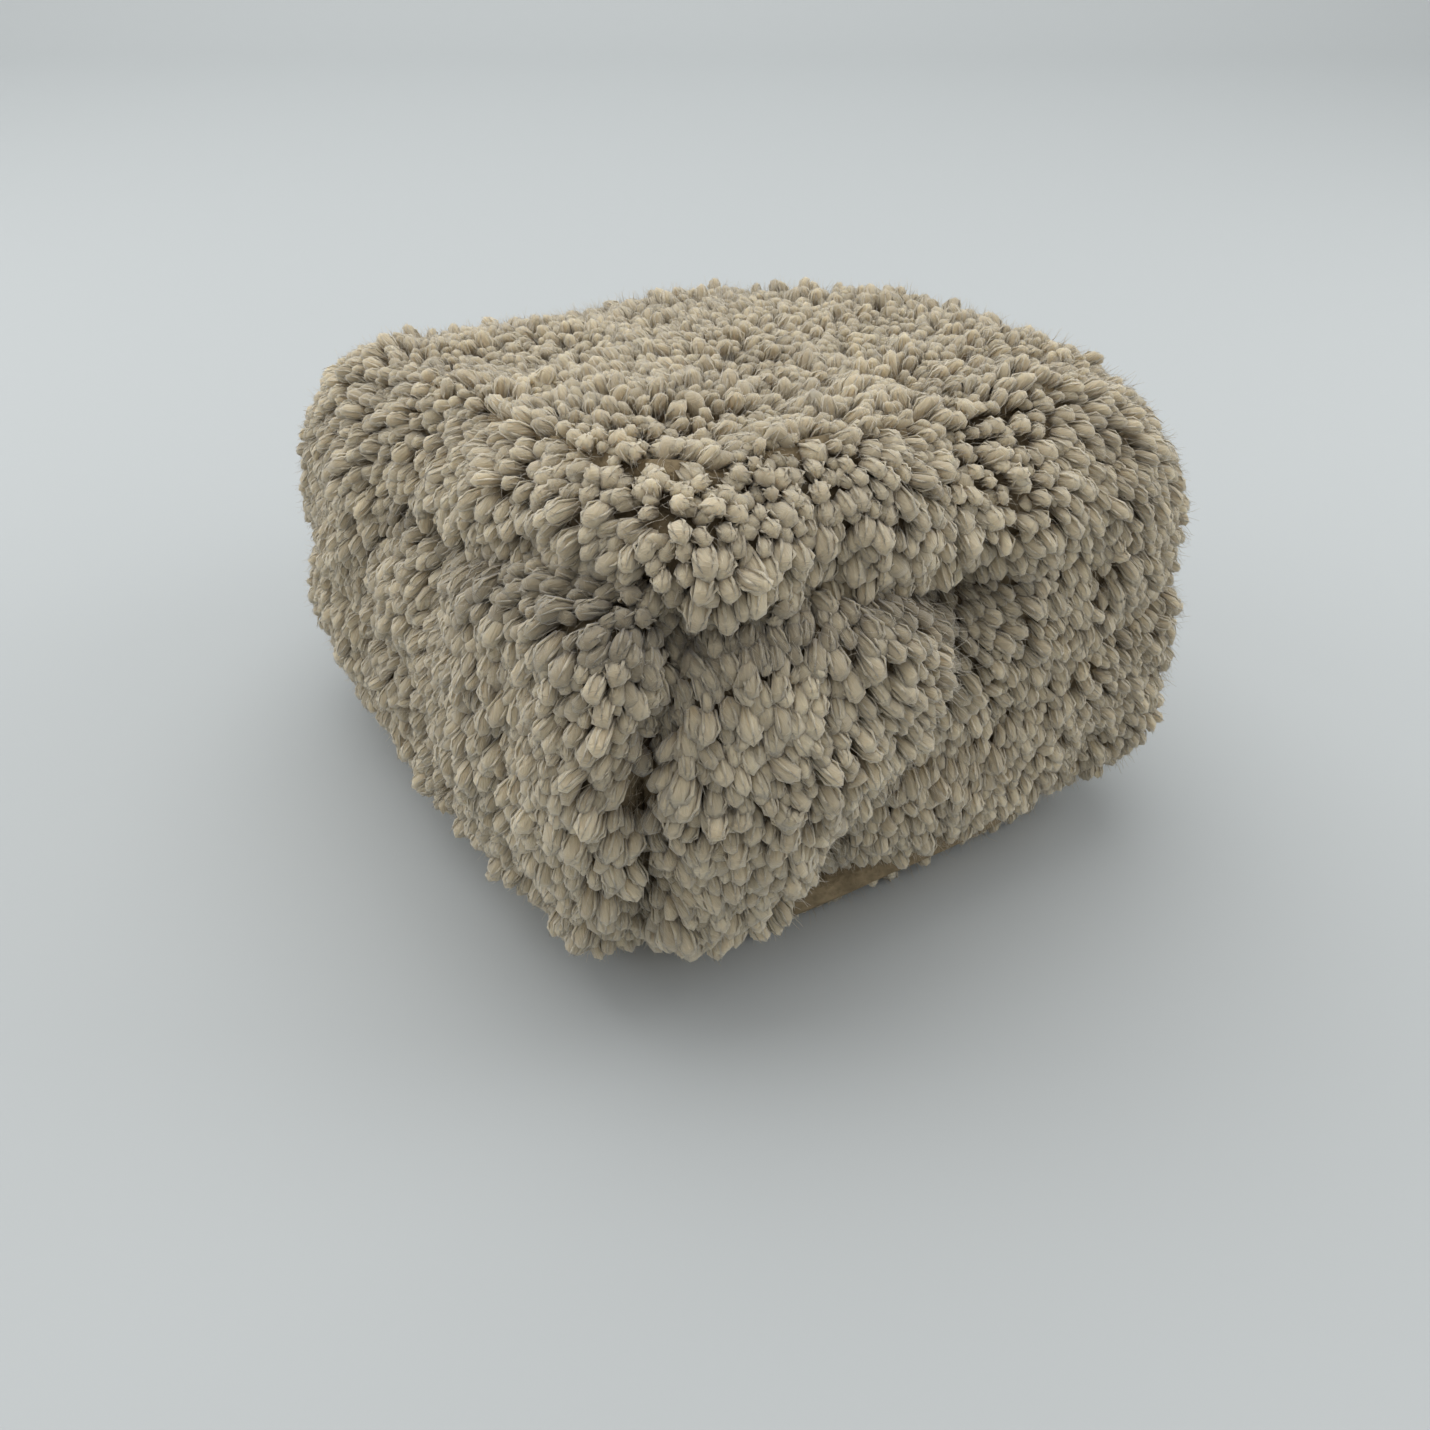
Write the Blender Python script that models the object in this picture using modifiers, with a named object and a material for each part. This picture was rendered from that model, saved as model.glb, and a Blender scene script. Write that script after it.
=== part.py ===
"""Block wash mitt: two wool pelts and two corner flaps over a foam core with a hand pocket.

Metres, +Z up. The origin is the centre of the overall box, on the surface that the mitt stands
on. The hand opening, with its ribbed cuff, faces +Y. The pelts keep their outer pile height.
"""

import math

import bmesh
import bpy
from mathutils import Vector

# Driving dimensions, in metres
WIDTH = 0.1706
BODY_LENGTH = 0.1912
HEIGHT = 0.108
CUFF_STANDS_OUT = 0.012
PILE = 0.014  # a pelt's thickness: skin and wool together
FOAM_CLEARANCE = 0.003
SEAM_HEIGHT = 0.050
POCKET_WIDTH = 0.094
POCKET_HEIGHT = 0.022
LINING = 0.001
CUFF_WALL = 0.0018
CUFF_CHANNEL = 0.0014
GAP = 0.0003  # between pieces that touch
FAR = 0.30  # longer than the whole mitt, for cutters

# Body form: plan size as a share of full size, at shares of the height
FORM = (
    (0.0, 0.79), (0.06, 0.85), (0.18, 0.97), (0.40, 1.0),
    (0.60, 1.0), (0.82, 0.95), (0.94, 0.86), (1.0, 0.74),
)
FORM_CUTS = 9  # cuts across each face of the outer block, and of the core inside it
CORE_CUTS = 7
PLAN_POWER = 4.3
SLOPE_X = -0.03
SLOPE_Y = -0.10

# Corner closure: two flaps fill one upright corner. Reach is the distance along the face from
# the corner of the plan's bounding box.
FLAPS = {
    "left": {"low": 0.013, "high": 0.092, "reach_low": 0.058, "reach_high": 0.070},
    "right": {"low": 0.011, "high": 0.089, "reach_low": 0.048, "reach_high": 0.074},
}
FLAP_DEPTH = 0.035
CLOSING_GAP = 0.0024
CLOSING_SHIFT = 0.010  # how far round onto the -Y face the two flaps meet

BODY_Y = -CUFF_STANDS_OUT / 2
REAR = BODY_Y + BODY_LENGTH / 2
FOAM_INSET = PILE + FOAM_CLEARANCE
POCKET_FRONT = BODY_Y - 0.066
CUFF_SEAT = 0.0005  # between the cuff and the foam behind it
CUFF_BASE = REAR - PILE - CUFF_SEAT
CUFF_TIP = REAR + CUFF_STANDS_OUT
OPENING_POWER = 4.0
OVAL_POINTS = 40
THREAD = 0.0008

# Elastic band and binding tape
BAND_WIDTH = 0.008
TAPE_THICKNESS = 0.0015
TAPE_START = 0.003  # in front of the cuff's base
TAPE_STANDS_OUT = 0.001
TAPE_ROOM = 0.0006  # between the tape and the pelts' edges
WAY_IN_DEPTH = 0.02

# Stitching
CUFF_STITCH_POINTS = 48
SIDE_SEAM_POINTS = 49
SIDE_SEAM_START = math.radians(150)
SIDE_SEAM_END = math.radians(390)
LACING_LOW = 0.016
LACING_HIGH = 0.086
LACING_TURNS = 9
LACING_DEPTH = 0.016
LACING_SWAY = 0.0015


def clear_scene():
    for obj in list(bpy.data.objects):
        bpy.data.objects.remove(obj)


def new_collection(name):
    collection = bpy.data.collections.new(name)
    bpy.context.scene.collection.children.link(collection)
    return collection


clear_scene()
MITT = new_collection("wash_mitt")
CUTTERS = new_collection("cutters")


def material(name, color, roughness):
    made = bpy.data.materials.new(name)
    made.use_nodes = True
    shader = made.node_tree.nodes["Principled BSDF"]
    shader.inputs["Base Color"].default_value = (*color, 1.0)
    shader.inputs["Roughness"].default_value = roughness
    shader.inputs["Metallic"].default_value = 0.0
    return made


WOOL = material("cream_wool", (0.42, 0.36, 0.26), 0.95)
FOAM = material("amber_foam", (0.72, 0.36, 0.07), 0.9)
LINING_CLOTH = material("lining_cloth", (0.55, 0.50, 0.42), 0.85)
RIB_KNIT = material("rib_knit", (0.46, 0.41, 0.33), 0.9)
ELASTIC = material("elastic", (0.80, 0.78, 0.72), 0.7)
TAPE = material("binding_tape", (0.50, 0.44, 0.34), 0.8)
THREAD_YARN = material("sewing_thread", (0.62, 0.57, 0.47), 0.6)


def object_from(bm, name, collection=MITT, finish=None):
    bmesh.ops.recalc_face_normals(bm, faces=bm.faces)
    mesh = bpy.data.meshes.new(name)
    bm.to_mesh(mesh)
    bm.free()
    obj = bpy.data.objects.new(name, mesh)
    collection.objects.link(obj)
    if finish:
        mesh.materials.append(finish)
    if collection is CUTTERS:
        obj.hide_render = True
        obj.display_type = "WIRE"
    return obj


def signed_power(value, power):
    return math.copysign(abs(value) ** power, value)


def plan_share(level):
    """The share of the full plan size at a share of the height, between the form's stations."""
    for (low, share_low), (high, share_high) in zip(FORM, FORM[1:]):
        if level <= high:
            part = (level - low) / (high - low)
            return share_low + (share_high - share_low) * part
    return FORM[-1][1]


def squircle(x, y):
    """A point of the square from -1 to 1, moved onto the rounded square of the body's plan."""
    reach = max(abs(x), abs(y))
    if reach == 0:
        return Vector((0, 0))
    norm = (abs(x) ** PLAN_POWER + abs(y) ** PLAN_POWER) ** (1 / PLAN_POWER)
    return Vector((x, y)) * reach / norm


def body_form(inset, cuts):
    """The mitt's closed soft block, its skin moved in by inset on every side."""
    bm = bmesh.new()
    bmesh.ops.create_cube(bm, size=2)
    bmesh.ops.subdivide_edges(bm, edges=bm.edges, cuts=cuts, use_grid_fill=True)
    half_width = WIDTH / 2 - inset
    half_length = BODY_LENGTH / 2 - inset
    for vert in bm.verts:
        x, y, z = vert.co
        level = 0.5 + 0.5 * math.sin(z * math.pi / 2)
        plan = squircle(x, y) * plan_share(level)
        top = HEIGHT * (1 + (SLOPE_X * plan.x + SLOPE_Y * plan.y) * level)
        vert.co.x = plan.x * half_width
        vert.co.y = BODY_Y + plan.y * half_length
        vert.co.z = inset + level * (top - 2 * inset)
    return bm


def box(name, low, high):
    """A cutter box between two corners."""
    bm = bmesh.new()
    bmesh.ops.create_cube(bm, size=1)
    low, high = Vector(low), Vector(high)
    bmesh.ops.scale(bm, vec=high - low, verts=bm.verts)
    bmesh.ops.translate(bm, vec=(low + high) / 2, verts=bm.verts)
    return object_from(bm, name, CUTTERS)


def boolean(obj, cutter, operation):
    modifier = obj.modifiers.new(f"{operation.lower()} {cutter.name}", "BOOLEAN")
    modifier.operation = operation
    modifier.solver = "EXACT"
    modifier.object = cutter


def oval_point(cosine, sine, grow, y):
    """A point of the hand opening's flat oval, larger by grow, at a place along Y."""
    x = signed_power(cosine, 2 / OPENING_POWER) * (POCKET_WIDTH / 2 + grow)
    z = signed_power(sine, 2 / OPENING_POWER) * (POCKET_HEIGHT / 2 + grow)
    return Vector((x, y, SEAM_HEIGHT + z))


def oval_tube(outline, closed):
    """The flat oval carried through a cross-section of (grow, y) points, which may close on itself."""
    bm = bmesh.new()
    bmesh.ops.create_circle(bm, segments=OVAL_POINTS, radius=1)
    ring = bm.edges[:]
    for _ in range(len(outline) if closed else len(outline) - 1):
        made = bmesh.ops.extrude_edge_only(bm, edges=ring)["geom"]
        verts = [item for item in made if isinstance(item, bmesh.types.BMVert)]
        bmesh.ops.translate(bm, vec=(0, 0, 1), verts=verts)
        ring = [item for item in made if isinstance(item, bmesh.types.BMEdge) and item.is_boundary]
    for vert in bm.verts:
        grow, y = outline[round(vert.co.z) % len(outline)]
        vert.co = oval_point(vert.co.x, vert.co.y, grow, y)
    if closed:
        bmesh.ops.remove_doubles(bm, verts=bm.verts, dist=GAP / 10)
    else:
        bmesh.ops.holes_fill(bm, edges=[edge for edge in bm.edges if edge.is_boundary])
    return bm


def sleeve(name, outline, finish):
    """A closed band around the hand opening, of one cross-section all the way round."""
    return object_from(oval_tube(outline, closed=True), name, finish=finish)


def plug(name, grow, y_low, y_high):
    """A solid cutter with the hand opening's outline."""
    return object_from(oval_tube(((grow, y_low), (grow, y_high)), closed=False), name, CUTTERS)


def flap_cutter(name, side, shrink):
    """The space of one corner flap. The left one lies on the -X face, the right one on the -Y face."""
    flap = FLAPS[side]
    trim = GAP if shrink else 0
    start = CLOSING_GAP / 2 if shrink else -CLOSING_GAP
    start += CLOSING_SHIFT if side == "right" else -CLOSING_SHIFT
    along_full = (BODY_LENGTH if side == "left" else WIDTH) / 2
    across_full = (WIDTH if side == "left" else BODY_LENGTH) / 2
    levels = (
        (flap["low"] + trim, flap["reach_low"] - trim),
        (flap["high"] - trim, flap["reach_high"] - trim),
    )
    bm = bmesh.new()
    for height, reach in levels:
        outline = (
            (start - FLAP_DEPTH, -FLAP_DEPTH),
            (reach, -FLAP_DEPTH),
            (reach, FLAP_DEPTH),
            (start + FLAP_DEPTH, FLAP_DEPTH),
        )
        for along, across in outline:
            along, across = along - along_full, across - across_full
            place = (across, BODY_Y + along) if side == "left" else (along, BODY_Y + across)
            bmesh.ops.create_vert(bm, co=(*place, height))
    bmesh.ops.convex_hull(bm, input=bm.verts)
    return object_from(bm, name, CUTTERS)


def thread_curve(name, points, cyclic=False):
    curve = bpy.data.curves.new(name, "CURVE")
    curve.dimensions = "3D"
    curve.bevel_depth = THREAD / 2
    curve.bevel_resolution = 1
    curve.use_fill_caps = not cyclic
    spline = curve.splines.new("POLY")
    spline.points.add(len(points) - 1)
    for point, place in zip(spline.points, points):
        point.co = (*place, 1)
    spline.use_cyclic_u = cyclic
    curve.materials.append(THREAD_YARN)
    obj = bpy.data.objects.new(name, curve)
    MITT.objects.link(obj)


def make_pelts():
    outer = body_form(0, FORM_CUTS)
    inner = object_from(body_form(PILE, CORE_CUTS), "core_space", CUTTERS)
    around_cuff = CUFF_CHANNEL + 2 * CUFF_WALL + TAPE_THICKNESS + TAPE_ROOM + 2 * GAP
    way_in = plug("way_in", around_cuff, CUFF_BASE - WAY_IN_DEPTH, FAR)
    corner = flap_cutter("corner_space", "left", shrink=False)
    boolean(corner, flap_cutter("right_flap_space", "right", shrink=False), "UNION")
    bounds = {
        "upper_pelt": ((-FAR, -FAR, SEAM_HEIGHT + GAP / 2), (FAR, FAR, FAR)),
        "lower_pelt": ((-FAR, -FAR, -FAR), (FAR, FAR, SEAM_HEIGHT - GAP / 2)),
    }
    for name, (low, high) in bounds.items():
        pelt = object_from(outer.copy(), name, finish=WOOL)
        boolean(pelt, box(f"{name}_half", low, high), "INTERSECT")
        for cutter in (inner, way_in, corner):
            boolean(pelt, cutter, "DIFFERENCE")
    for side in FLAPS:
        flap = object_from(outer.copy(), f"corner_flap_{side}", finish=WOOL)
        boolean(flap, flap_cutter(f"{side}_flap_form", side, shrink=True), "INTERSECT")
        boolean(flap, inner, "DIFFERENCE")
    outer.free()


def make_foam():
    pocket_x = POCKET_WIDTH / 2 + LINING + GAP
    pocket_z = POCKET_HEIGHT / 2 + LINING + GAP
    front = POCKET_FRONT - LINING - GAP
    low, high = SEAM_HEIGHT - pocket_z, SEAM_HEIGHT + pocket_z
    pieces = {
        "upper_foam_pad": ((-FAR, -FAR, high), (FAR, FAR, FAR)),
        "lower_foam_pad": ((-FAR, -FAR, -FAR), (FAR, FAR, low)),
        "foam_strip_left": ((-FAR, front + GAP, low + GAP), (-pocket_x, FAR, high - GAP)),
        "foam_strip_right": ((pocket_x, front + GAP, low + GAP), (FAR, FAR, high - GAP)),
        "foam_strip_front": ((-FAR, -FAR, low + GAP), (FAR, front, high - GAP)),
    }
    core = body_form(FOAM_INSET, CORE_CUTS)
    for name, (lowest, highest) in pieces.items():
        piece = object_from(core.copy(), name, finish=FOAM)
        boolean(piece, box(f"{name}_cut", lowest, highest), "INTERSECT")
    core.free()


def make_lining():
    """A flat pouch, open towards +Y, that the hand goes into."""
    rear = CUFF_BASE - GAP
    size = Vector((POCKET_WIDTH + 2 * LINING, rear - POCKET_FRONT + LINING, POCKET_HEIGHT + 2 * LINING))
    bm = bmesh.new()
    bmesh.ops.create_cube(bm, size=1)
    bmesh.ops.scale(bm, vec=size, verts=bm.verts)
    bmesh.ops.translate(bm, vec=(0, rear - size.y / 2, SEAM_HEIGHT), verts=bm.verts)
    mouth = [face for face in bm.faces if face.calc_center_median().y > rear - GAP]
    bmesh.ops.delete(bm, geom=mouth, context="FACES_ONLY")
    pouch = object_from(bm, "pocket_lining", finish=LINING_CLOTH)
    wall = pouch.modifiers.new("wall", "SOLIDIFY")
    wall.thickness = LINING
    wall.offset = -1
    wall.use_even_offset = True


def make_cuff():
    """The cuff is folded over at its tip, and the elastic lies in the fold."""
    inner_wall = CUFF_WALL
    channel = CUFF_WALL + CUFF_CHANNEL
    outer_wall = channel + CUFF_WALL
    fold = CUFF_TIP - CUFF_WALL
    sleeve(
        "rib_cuff",
        (
            (0, CUFF_BASE), (0, CUFF_TIP), (outer_wall, CUFF_TIP), (outer_wall, CUFF_BASE),
            (channel, CUFF_BASE), (channel, fold), (inner_wall, fold), (inner_wall, CUFF_BASE),
        ),
        RIB_KNIT,
    )
    band_low, band_high = inner_wall + GAP, channel - GAP
    band_tip = fold - GAP
    band_start = band_tip - BAND_WIDTH
    sleeve(
        "cuff_elastic",
        ((band_low, band_start), (band_low, band_tip), (band_high, band_tip), (band_high, band_start)),
        ELASTIC,
    )
    tape_low = outer_wall + GAP
    tape_high = tape_low + TAPE_THICKNESS
    tape_start, tape_end = CUFF_BASE + TAPE_START, REAR + TAPE_STANDS_OUT
    sleeve(
        "opening_binding",
        ((tape_low, tape_start), (tape_low, tape_end), (tape_high, tape_end), (tape_high, tape_start)),
        TAPE,
    )
    return outer_wall, tape_end


def oval_path(grow, y, count):
    angles = [math.tau * step / count for step in range(count)]
    return [oval_point(math.cos(angle), math.sin(angle), grow, y) for angle in angles]


def closing_path():
    """Up the gap between the two flaps, in and out like lacing."""
    points = []
    for step in range(2 * LACING_TURNS + 1):
        inward = LACING_DEPTH + (LACING_SWAY if step % 2 else -LACING_SWAY)
        x = CLOSING_SHIFT - WIDTH / 2 + inward
        y = BODY_Y - BODY_LENGTH / 2 + inward
        rise = step / (2 * LACING_TURNS)
        points.append((x, y, LACING_LOW + (LACING_HIGH - LACING_LOW) * rise))
    return points


def make_threads(cuff_outside, tape_end):
    thread_curve(
        "cuff_thread",
        oval_path(
            cuff_outside + 2 * GAP + THREAD / 2, tape_end + GAP + THREAD / 2, CUFF_STITCH_POINTS),
        cyclic=True,
    )
    inset = PILE + FOAM_CLEARANCE / 2
    share = plan_share(SEAM_HEIGHT / HEIGHT)
    half_width = (WIDTH / 2 - inset) * share
    half_length = (BODY_LENGTH / 2 - inset) * share
    points = []
    for step in range(SIDE_SEAM_POINTS):
        part = step / (SIDE_SEAM_POINTS - 1)
        angle = SIDE_SEAM_START + (SIDE_SEAM_END - SIDE_SEAM_START) * part
        x = signed_power(math.cos(angle), 2 / PLAN_POWER) * half_width
        y = signed_power(math.sin(angle), 2 / PLAN_POWER) * half_length
        points.append((x, BODY_Y + y, SEAM_HEIGHT))
    thread_curve("side_seam_thread", points)
    thread_curve("closing_seam_thread", closing_path())


make_pelts()
make_foam()
make_lining()
make_threads(*make_cuff())
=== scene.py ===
import math

import bmesh
import bpy
import numpy as np
from mathutils import Matrix, Vector, noise


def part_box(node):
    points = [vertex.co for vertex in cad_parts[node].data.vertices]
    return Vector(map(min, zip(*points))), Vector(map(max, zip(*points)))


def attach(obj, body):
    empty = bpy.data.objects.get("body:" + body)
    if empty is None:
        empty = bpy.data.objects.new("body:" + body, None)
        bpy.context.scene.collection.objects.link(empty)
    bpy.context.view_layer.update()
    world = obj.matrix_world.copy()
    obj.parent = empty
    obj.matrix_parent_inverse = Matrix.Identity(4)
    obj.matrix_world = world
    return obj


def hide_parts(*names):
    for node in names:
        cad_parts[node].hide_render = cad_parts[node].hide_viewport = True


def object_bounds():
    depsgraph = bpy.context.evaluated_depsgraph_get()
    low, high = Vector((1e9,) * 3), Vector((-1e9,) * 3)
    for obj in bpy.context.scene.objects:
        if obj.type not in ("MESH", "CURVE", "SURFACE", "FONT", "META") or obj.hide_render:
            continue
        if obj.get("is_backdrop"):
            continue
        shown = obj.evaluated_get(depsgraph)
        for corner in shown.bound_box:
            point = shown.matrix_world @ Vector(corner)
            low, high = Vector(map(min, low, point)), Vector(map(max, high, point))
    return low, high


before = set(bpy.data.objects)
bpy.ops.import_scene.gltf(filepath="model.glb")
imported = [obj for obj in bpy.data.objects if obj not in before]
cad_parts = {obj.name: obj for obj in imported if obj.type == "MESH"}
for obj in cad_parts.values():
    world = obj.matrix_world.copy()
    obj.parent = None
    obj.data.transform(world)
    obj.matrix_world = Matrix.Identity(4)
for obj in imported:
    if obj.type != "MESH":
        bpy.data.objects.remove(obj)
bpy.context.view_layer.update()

bl_info = {
    "name": "Wool wash mitt",
    "version": (1, 0, 0),
    "blender": (4, 5, 0),
    "location": "View3D > Sidebar > Wash mitt",
    "description": "Builds a block wash mitt: wool pelts, foam core, pocket lining and ribbed cuff",
    "category": "Mesh",
}

# Sizes that follow from the frame, in metres
LOW, HIGH = (np.array(corner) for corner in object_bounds())
CUFF_LOW, CUFF_HIGH = (np.array(corner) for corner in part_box("rib_cuff"))
BINDING_LOW, BINDING_HIGH = (np.array(corner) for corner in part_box("opening_binding"))
LINING_LOW, LINING_HIGH = (np.array(corner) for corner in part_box("pocket_lining"))
WIDTH = HIGH[0] - LOW[0]
CUFF_STANDS_OUT = 0.012
LENGTH = HIGH[1] - LOW[1] - CUFF_STANDS_OUT
MIDDLE_Y = -CUFF_STANDS_OUT / 2
REAR = HIGH[1] - CUFF_STANDS_OUT
OPENING_Z = (CUFF_LOW[2] + CUFF_HIGH[2]) / 2
HEIGHT = 0.108  # at the middle; the top slopes down to the rear
CORE_DEPTH = 0.014

# The block's form: its share of the full plan size at shares of the height
FORM_LEVELS = (0.0, 0.06, 0.18, 0.40, 0.60, 0.82, 0.94, 1.0)
FORM_SHARES = (0.79, 0.85, 0.97, 1.0, 1.0, 0.95, 0.86, 0.74)
PLAN_POWER = 4.3
SLOPE = (-0.03, -0.10)
OPENING_POWER = 4.0
MILLIMETRE = 0.001
ROOT_Y = (0, MIDDLE_Y, 0)

# Lines of the folds, in millimetres from the middle of the block's base
OVERHANG_FOLD = (
    (-82, 0, 87), (-80, -26, 91), (-77, -47, 96), (-73, -63, 98), (-65, -78, 96), (-60, -85, 91),
    (-49, -88, 94), (-35, -89, 95), (-22, -91, 92), (-10, -92, 89), (6, -92, 86),
)
CLOSING_FOLD = (
    (-62, -84, 92), (-65, -84, 81), (-67, -83, 70), (-68, -82, 59), (-68, -82, 45), (-69, -80, 32), (-70, -78, 18),
)
FLAP_EDGE_Z = (10, 16, 30, 45, 53, 62, 71, 82, 90)
FLAP_EDGE_X = (-48, -45, -40, -36, -26, -19, -12, -9, -9)
CHEEK_EDGE_Z = (8, 20, 36, 50, 69, 90)
CHEEK_EDGE_Y = (-45, -35, -22, -17, -26, -28)
# The tongue of foam between the two flaps, from its tip inwards
CRUMB = ((-68, -83, 64), (-56, -69, 64))
# Hollows and swellings: place, depth (negative) or height, and spread, all in millimetres
DENTS = (
    ((-81, 10, 88), -5, 6), ((-83, -20, 78), -5, 6), ((5, -92, 87), -6, 7), ((-31, -89, 97), -5, 7),
    ((-75, -51, 102), -4, 7), ((-28, -90, 16), -3, 10), ((-60, -86, 91), -6, 6),
    ((-84, -56, 62), 4, 20), ((-42, -95, 64), 4, 15), ((-68, -74, 12), 2, 9), ((-18, -90, 106), 4, 13),
    ((-50, -88, 106), 3, 14), ((-80, -40, 104), 3, 14), ((40, -92, 88), 3, 18), ((70, -60, 60), 3, 22),
    ((-82, 78, 84), -1, 28), ((75, -10, 94), 0, 30), ((82, -82, 28), 5, 24), ((78, 82, 94), -9, 36), ((-15, 90, 98), -8, 34), ((30, 90, 96), -3, 28),
    ((-62, -78, 6), -10, 20), ((-20, -84, 3), -8, 28), ((35, -85, 4), -6, 26),
)


class MittSettings(bpy.types.PropertyGroup):
    lock_length: bpy.props.FloatProperty(
        name="Lock length", description="Length of a wool lock from the hide to its tip",
        default=0.0072, min=0.003, max=0.014, unit="LENGTH")
    lock_width: bpy.props.FloatProperty(
        name="Lock width", description="Width of a wool lock at its thickest",
        default=0.0038, min=0.001, max=0.008, unit="LENGTH")
    lock_spacing: bpy.props.FloatProperty(
        name="Lock spacing", description="Least distance between two locks' roots",
        default=0.0025, min=0.001, max=0.008, unit="LENGTH")
    tip_colour: bpy.props.FloatVectorProperty(
        name="Wool tips", description="Colour of the wool at the tips of its locks",
        default=(0.57, 0.485, 0.335), subtype="COLOR", min=0, max=1)
    # The roots' colour is painted shade: the wool darkens and browns deep in the pile, where shade falls between the
    # locks.
    painted_root_shade: bpy.props.FloatVectorProperty(
        name="Wool roots", description="Colour of the wool deep in the pile",
        default=(0.43, 0.335, 0.20), subtype="COLOR", min=0, max=1)
    foam_colour: bpy.props.FloatVectorProperty(
        name="Foam", description="Colour of the foam core",
        default=(0.70, 0.32, 0.06), subtype="COLOR", min=0, max=1)
    cloth_colour: bpy.props.FloatVectorProperty(
        name="Cuff and lining", description="Colour of the ribbed cuff, tape and lining",
        default=(0.52, 0.46, 0.36), subtype="COLOR", min=0, max=1)
    ribs: bpy.props.IntProperty(
        name="Cuff ribs", description="Number of ribs around the cuff", default=84, min=24, max=160)
    floor_colour: bpy.props.FloatVectorProperty(
        name="Floor", description="Colour of the floor and backdrop",
        default=(0.475, 0.50, 0.505), subtype="COLOR", min=0, max=1)


def settings():
    return bpy.context.scene.wash_mitt


# ---------------------------------------------------------------- materials

class Nodes:
    """A short way to add and link nodes in one node tree."""

    def __init__(self, tree):
        self.tree = tree

    def add(self, kind, inputs=None, **values):
        node = self.tree.nodes.new(kind)
        for name, value in values.items():
            setattr(node, name, value)
        for name, value in (inputs or {}).items():
            self.put(node.inputs[name], value)
        return node

    def put(self, socket, value):
        if isinstance(value, bpy.types.NodeSocket):
            self.tree.links.new(value, socket)
        else:
            socket.default_value = value

    def math(self, operation, first, second=0.0):
        node = self.add("ShaderNodeMath", operation=operation)
        self.put(node.inputs[0], first)
        self.put(node.inputs[1], second)
        return node.outputs[0]

    def vector_math(self, operation, first, second):
        node = self.add("ShaderNodeVectorMath", operation=operation)
        self.put(node.inputs[0], first)
        self.put(node.inputs[1], second)
        return node.outputs[0]

    def mix(self, factor, first, second, blend="MIX"):
        node = self.add("ShaderNodeMix", data_type="RGBA", blend_type=blend)
        for socket, value in zip((node.inputs[0], node.inputs[6], node.inputs[7]), (factor, first, second)):
            if isinstance(value, tuple) and len(value) == 3:
                value = (*value, 1.0)
            self.put(socket, value)
        return node.outputs[2]


def new_group(name, inputs, outputs):
    """A node group with float, colour or vector sockets: {"name": ("FLOAT" | "COLOR" | "VECTOR", default)}."""
    kinds = {"FLOAT": "NodeSocketFloat", "COLOR": "NodeSocketColor", "VECTOR": "NodeSocketVector"}
    tree = bpy.data.node_groups.new(name, "ShaderNodeTree")
    for label, (kind, default) in inputs.items():
        socket = tree.interface.new_socket(label, in_out="INPUT", socket_type=kinds[kind])
        socket.default_value = default
    for label, kind in outputs.items():
        tree.interface.new_socket(label, in_out="OUTPUT", socket_type=kinds[kind])
    nodes = Nodes(tree)
    return nodes, nodes.add("NodeGroupInput").outputs, nodes.add("NodeGroupOutput").inputs


def fibre_group():
    """Fine fibres that run along a lock and twist round it, shifted from lock to lock."""
    nodes, given, result = new_group(
        "wool_fibres",
        {"Place": ("VECTOR", (0, 0, 0)), "Shift": ("FLOAT", 0.0), "Fineness": ("FLOAT", 1.0)},
        {"Fibres": "FLOAT", "Clumps": "FLOAT"},
    )
    parts = nodes.add("ShaderNodeSeparateXYZ", {0: given["Place"]}).outputs
    twisted = nodes.math("ADD", nodes.math("MULTIPLY", parts[0], 20.0), nodes.math("MULTIPLY", parts[1], 6.0))
    around = nodes.math("ADD", twisted, nodes.math("MULTIPLY", given["Shift"], 61.0))
    along = nodes.math("ADD", nodes.math("MULTIPLY", parts[1], 2.2), nodes.math("MULTIPLY", given["Shift"], 29.0))
    place = nodes.add("ShaderNodeCombineXYZ", {0: around, 1: along}).outputs[0]
    fine = nodes.add(
        "ShaderNodeTexNoise", {"Vector": place, "Scale": given["Fineness"], "Detail": 3.0, "Roughness": 0.65},
        noise_dimensions="2D")
    coarse = nodes.add("ShaderNodeTexNoise", {"Vector": place, "Scale": 0.28, "Detail": 1.0}, noise_dimensions="2D")
    nodes.put(result["Fibres"], fine.outputs[0])
    nodes.put(result["Clumps"], coarse.outputs[0])


def mottle_group():
    """Soft uneven patches over a surface, from Object coordinates."""
    nodes, given, result = new_group(
        "soft_mottle", {"Scale": ("FLOAT", 30.0), "Low": ("FLOAT", 0.9), "High": ("FLOAT", 1.1)}, {"Shade": "FLOAT"})
    place = nodes.add("ShaderNodeTexCoord").outputs["Object"]
    cloud = nodes.add("ShaderNodeTexNoise", {"Vector": place, "Scale": given["Scale"], "Detail": 3.0}).outputs[0]
    shade = nodes.add("ShaderNodeMapRange", {0: cloud, 1: 0.3, 2: 0.7, 3: given["Low"], 4: given["High"]})
    nodes.put(result["Shade"], shade.outputs[0])


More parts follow.
